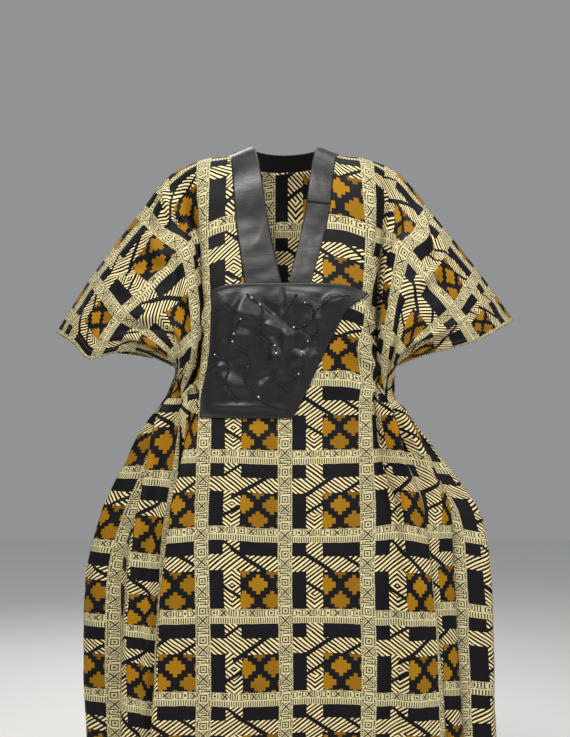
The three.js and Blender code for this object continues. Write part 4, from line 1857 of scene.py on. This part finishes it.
@dataclass
class Stitching:
    """Topstitching and hem stitching: short raised stitches in one line."""

    drape: Drape
    finishes: Finishes
    panel: WaistPanel
    pitch: float = 3.4
    length: float = 2.5
    radius: float = 0.28
    over_band: float = 1.15
    over_cotton: float = 0.38

    def _stitches(self, points: np.ndarray, outs: np.ndarray) -> tuple[np.ndarray, np.ndarray]:
        """A little arched thread at each place, along the line.

        Args:
            points: places of the stitches' middles.
            outs: outward directions there.

        Returns:
            Vertices and faces of all the stitches.
        """
        run = unit(np.gradient(points, axis=0))
        beside = unit(np.cross(run, outs))
        rings = ((-0.5, -0.25, 0.55), (-0.25, 0.2, 1.0), (0.25, 0.2, 1.0), (0.5, -0.25, 0.55))
        around = 5
        each = around * len(rings)
        vertices = []
        for along, rise, thick in rings:
            centre = points + run * along * self.length + outs * rise * self.radius * 2
            for corner in np.arange(around) * 2 * math.pi / around:
                turn = beside * math.cos(corner) + outs * math.sin(corner)
                vertices.append(centre + turn * self.radius * thick)
        grid = np.stack(vertices, axis=1)
        one: list[tuple[int, ...]] = []
        for low in range(0, each - around, around):
            for k in range(around):
                n = (k + 1) % around
                one.append((low + k, low + n, low + around + n, low + around + k))
        ends = (range(around - 1, -1, -1), range(each - around, each))
        base = np.arange(len(points))[:, None, None] * each
        faces = [tuple(f) for f in (np.array(one)[None] + base).reshape(-1, 4).tolist()]
        for k in range(len(points)):
            faces += [tuple(i + each * k for i in end) for end in ends]
        return grid.reshape(-1, 3), faces

    def line(
        self,
        name: str,
        side: Side,
        cut: np.ndarray,
        lift: np.ndarray | float,
        material: bpy.types.Material,
    ) -> None:
        """Sews one line of stitches.

        Args:
            name: the piece's name.
            side: front or back.
            cut: places of the stitches.
            lift: height of the cloth's outer face over the drape there.
            material: the thread.
        """
        points, outs = places_on(self.drape, side, cut)
        points = points + outs * np.asarray(lift, float).reshape(-1, 1)
        vertices, faces = self._stitches(points, outs)
        piece = make_mesh(name, vertices, faces, material)

    def sew(self) -> None:
        """Sews the waist panel, the neckband and every hem."""
        low, high = NECK_V + 3.0, PANEL_BOTTOM - 3.5
        rows = (326, 362, 400, 438, 478)
        left = [(panel_edges(t)[0][0] + 3.5, t) for t in rows]
        right = [(panel_edges(t)[1][0] - 4.0, t) for t in rows]
        lines = {
            "panel_stitch_left": [(-124.5, low), *left, (-146.5, high)],
            "panel_stitch_right": [(131.0, low), *right, (9.0, high)],
            "panel_stitch_low": [(-146.0, high), (-70.0, high), (8.0, high)],
            "panel_stitch_top": [(-124.0, low), (0.0, low), (130.0, low)],
        }
        for name, stops in lines.items():
            cut = path_points(stops, self.pitch)
            height = self.panel.height(cut[:, 0], cut[:, 1]) + self.panel.thickness / 2
            self.line(name, Side.FRONT, cut, height, self.finishes.thread)
        for name, sign, column in (("band_stitch_left", -1, 1), ("band_stitch_right", 1, 4)):
            t = np.arange(4.0, NECK_V - 4.0, self.pitch)
            cut = np.stack([sign * (band_edge(t, column) - 1.6), t], axis=-1)
            self.line(name, Side.FRONT, cut, self.over_band, self.finishes.thread)
        for side in Side:
            label = side.name.lower()
            for half in Half:
                t = np.arange(6.0, OPENING - 4.0, self.pitch)
                cut = np.stack([np.full_like(t, half.value * (HALF_WIDTH - HEM)), t], axis=-1)
                name = f"cuff_stitch_{label}_{half.name.lower()}"
                self.line(name, side, cut, self.over_cotton, self.finishes.gold_thread)
            s = np.arange(-HALF_WIDTH + 6.0, HALF_WIDTH - 6.0, self.pitch + 0.6)
            cut = np.stack([s, np.full_like(s, LENGTH - HEM)], axis=-1)
            self.line(f"hem_stitch_{label}", side, cut, self.over_cotton, self.finishes.gold_thread)


@dataclass
class Beadwork:
    """Rows of small faceted beads that scroll over the waist panel."""

    drape: Drape
    finishes: Finishes
    panel: WaistPanel
    pitch: float = 4.6
    radius: float = 2.5
    clear_share: float = 0.06
    clear_size: float = 0.62
    rows: tuple[tuple[tuple[float, float], ...], ...] = (
        ((-104, 316), (-78, 346), (-92, 384), (-62, 414), (-70, 452), (-40, 486), (-8, 500)),
        ((-66, 306), (-40, 330), (-46, 372), (-16, 398), (-22, 440), (4, 470)),
        ((110, 302), (76, 314), (52, 340), (58, 372), (30, 396), (34, 430), (10, 452)),
        ((20, 306), (0, 336), (14, 362), (44, 352), (48, 326), (28, 318)),
        ((-120, 402), (-98, 424), (-104, 458), (-84, 488)),
    )

    def build(self) -> None:
        """Sews the beads: mostly jet, with a clear one now and then."""
        cuts = np.concatenate([path_points(list(row), self.pitch) for row in self.rows])
        points, outs = places_on(self.drape, Side.FRONT, cuts)
        rise = self.panel.height(cuts[:, 0], cuts[:, 1]) + self.panel.thickness / 2
        rng = np.random.default_rng(17)
        clear = rng.uniform(size=len(cuts)) < self.clear_share
        sizes = self.radius * rng.uniform(0.75, 1.1, len(cuts)) * np.where(clear, self.clear_size, 1.0)
        sets = (("beads_jet", ~clear, self.finishes.jet), ("beads_clear", clear, self.finishes.clear))
        for name, chosen, material in sets:
            vertices, faces = self._facets(
                points[chosen] + outs[chosen] * (rise[chosen] + 0.75 * sizes[chosen])[:, None],
                outs[chosen],
                sizes[chosen],
                rng,
            )
            piece = make_mesh(name, vertices, faces, material, flat_from=0)

    @staticmethod
    def _facets(
        centres: np.ndarray, outs: np.ndarray, sizes: np.ndarray, rng: np.random.Generator
    ) -> tuple[np.ndarray, list[tuple[int, ...]]]:
        """Cut beads: eight-sided, with a flat table and a flat foot.

        Args:
            centres: the beads' middles.
            outs: directions that their tables face.
            sizes: their radii.
            rng: turns each one its own way.

        Returns:
            Vertices and faces of all the beads.
        """
        profile = ((0.42, 0.85), (0.88, 0.42), (1.0, 0.0), (0.8, -0.5), (0.4, -0.8))
        sides = 8
        vertices, faces = [], []
        for centre, out, size in zip(centres, outs, sizes):
            start = len(vertices)
            first = unit(np.cross(out, np.array([0.3, 0.2, 1.0])))
            second = np.cross(out, first)
            spin = rng.uniform(0, math.pi)
            for level, (wide, high) in enumerate(profile):
                for k in range(sides):
                    turn = spin + (k + 0.5 * (level % 2)) * 2 * math.pi / sides
                    flat = first * math.cos(turn) + second * math.sin(turn)
                    vertices.append(centre + flat * wide * size + out * high * size)
            for level in range(len(profile) - 1):
                for k in range(sides):
                    n = (k + 1) % sides
                    low, up = start + level * sides, start + (level + 1) * sides
                    faces.append((low + k, up + k, up + n, low + n))
            faces.append(tuple(start + k for k in range(sides)))
            last = start + (len(profile) - 1) * sides
            faces.append(tuple(last + k for k in range(sides - 1, -1, -1)))
        return np.array(vertices), faces


@dataclass(frozen=True)
class Lamp:
    """One soft square light."""

    name: str
    place: tuple[float, float, float]
    size: float
    power: float
    colour: tuple[float, float, float]


LAMPS = (
    Lamp("key", (-0.45, -1.95, 1.9), 0.55, 88.0, (1.0, 0.97, 0.93)),
    Lamp("fill", (1.5, -2.1, 0.6), 0.6, 22.0, (0.95, 0.97, 1.0)),
    Lamp("top", (0.3, 0.4, 2.0), 1.4, 26.0, (1.0, 0.99, 0.97)),
    Lamp("behind", (-0.8, 2.6, 0.9), 1.6, 34.0, (1.0, 0.98, 0.96)),
)


@dataclass
class Studio:
    """Floor, light and camera."""

    finishes: Finishes
    floor_z: float = -1.47
    floor_reach: float = 6.0
    sky_colour: tuple[float, float, float, float] = (0.80, 0.81, 0.83, 1.0)
    sky_strength: float = 0.36
    aim: tuple[float, float, float] = (0.0, 0.0, -0.5)
    camera_at: tuple[float, float, float] = (0.0, -2.53, -0.403)
    lens: float = 44.65

    def build(self) -> None:
        """Lays the floor and sets the lights and the camera."""
        around = ((-1, -1), (1, -1), (1, 1), (-1, 1))
        places = [(x * self.floor_reach, y * self.floor_reach, self.floor_z) for x, y in around]
        mesh = bpy.data.meshes.new("floor")
        mesh.from_pydata(places, [], [(0, 1, 2, 3)])
        mesh.materials.append(self.finishes.floor)
        floor = bpy.data.objects.new("floor", mesh)
        bpy.context.scene.collection.objects.link(floor)
        for lamp in LAMPS:
            self._light(lamp)
        world = bpy.data.worlds.new("studio")
        world.use_nodes = True
        sky = world.node_tree.nodes["Background"]
        sky.inputs["Color"].default_value = self.sky_colour
        sky.inputs["Strength"].default_value = self.sky_strength
        bpy.context.scene.world = world
        bpy.context.scene.view_settings.view_transform = "Standard"
        camera = bpy.data.cameras.new("camera")
        camera.sensor_fit = "VERTICAL"
        camera.sensor_height = 24.0
        camera.lens = self.lens
        holder = bpy.data.objects.new("camera", camera)
        holder.location = self.camera_at
        holder.rotation_euler = (math.pi / 2, 0.0, 0.0)
        bpy.context.scene.collection.objects.link(holder)
        bpy.context.scene.camera = holder

    def _light(self, lamp: Lamp) -> None:
        """Sets up one light that faces the garment.

        Args:
            lamp: its row in the table.
        """
        light = bpy.data.lights.new(lamp.name, "AREA")
        light.size = lamp.size
        light.energy = lamp.power
        light.color = lamp.colour
        holder = bpy.data.objects.new(lamp.name, light)
        holder.location = lamp.place
        aim = Vector(self.aim) - Vector(lamp.place)
        holder.rotation_euler = aim.to_track_quat("-Z", "Y").to_euler()
        bpy.context.scene.collection.objects.link(holder)


def main() -> None:
    """Builds the garment piece by piece, then the studio."""
    logging.basicConfig(level=logging.INFO, format="%(message)s")
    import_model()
    finishes = Finishes()
    drape = Drape()
    panels = PrintedPanels(drape, finishes)
    panels.front()
    panels.back()
    band = NeckBand(drape, finishes)
    band.left()
    band.right()
    band.back()
    waist = WaistPanel(drape, finishes)
    waist.build()
    Stitching(drape, finishes, waist).sew()
    Beadwork(drape, finishes, waist).build()
    Studio(finishes).build()
    LOG.info("all pieces are built")


if __name__ == "__main__":
    main()
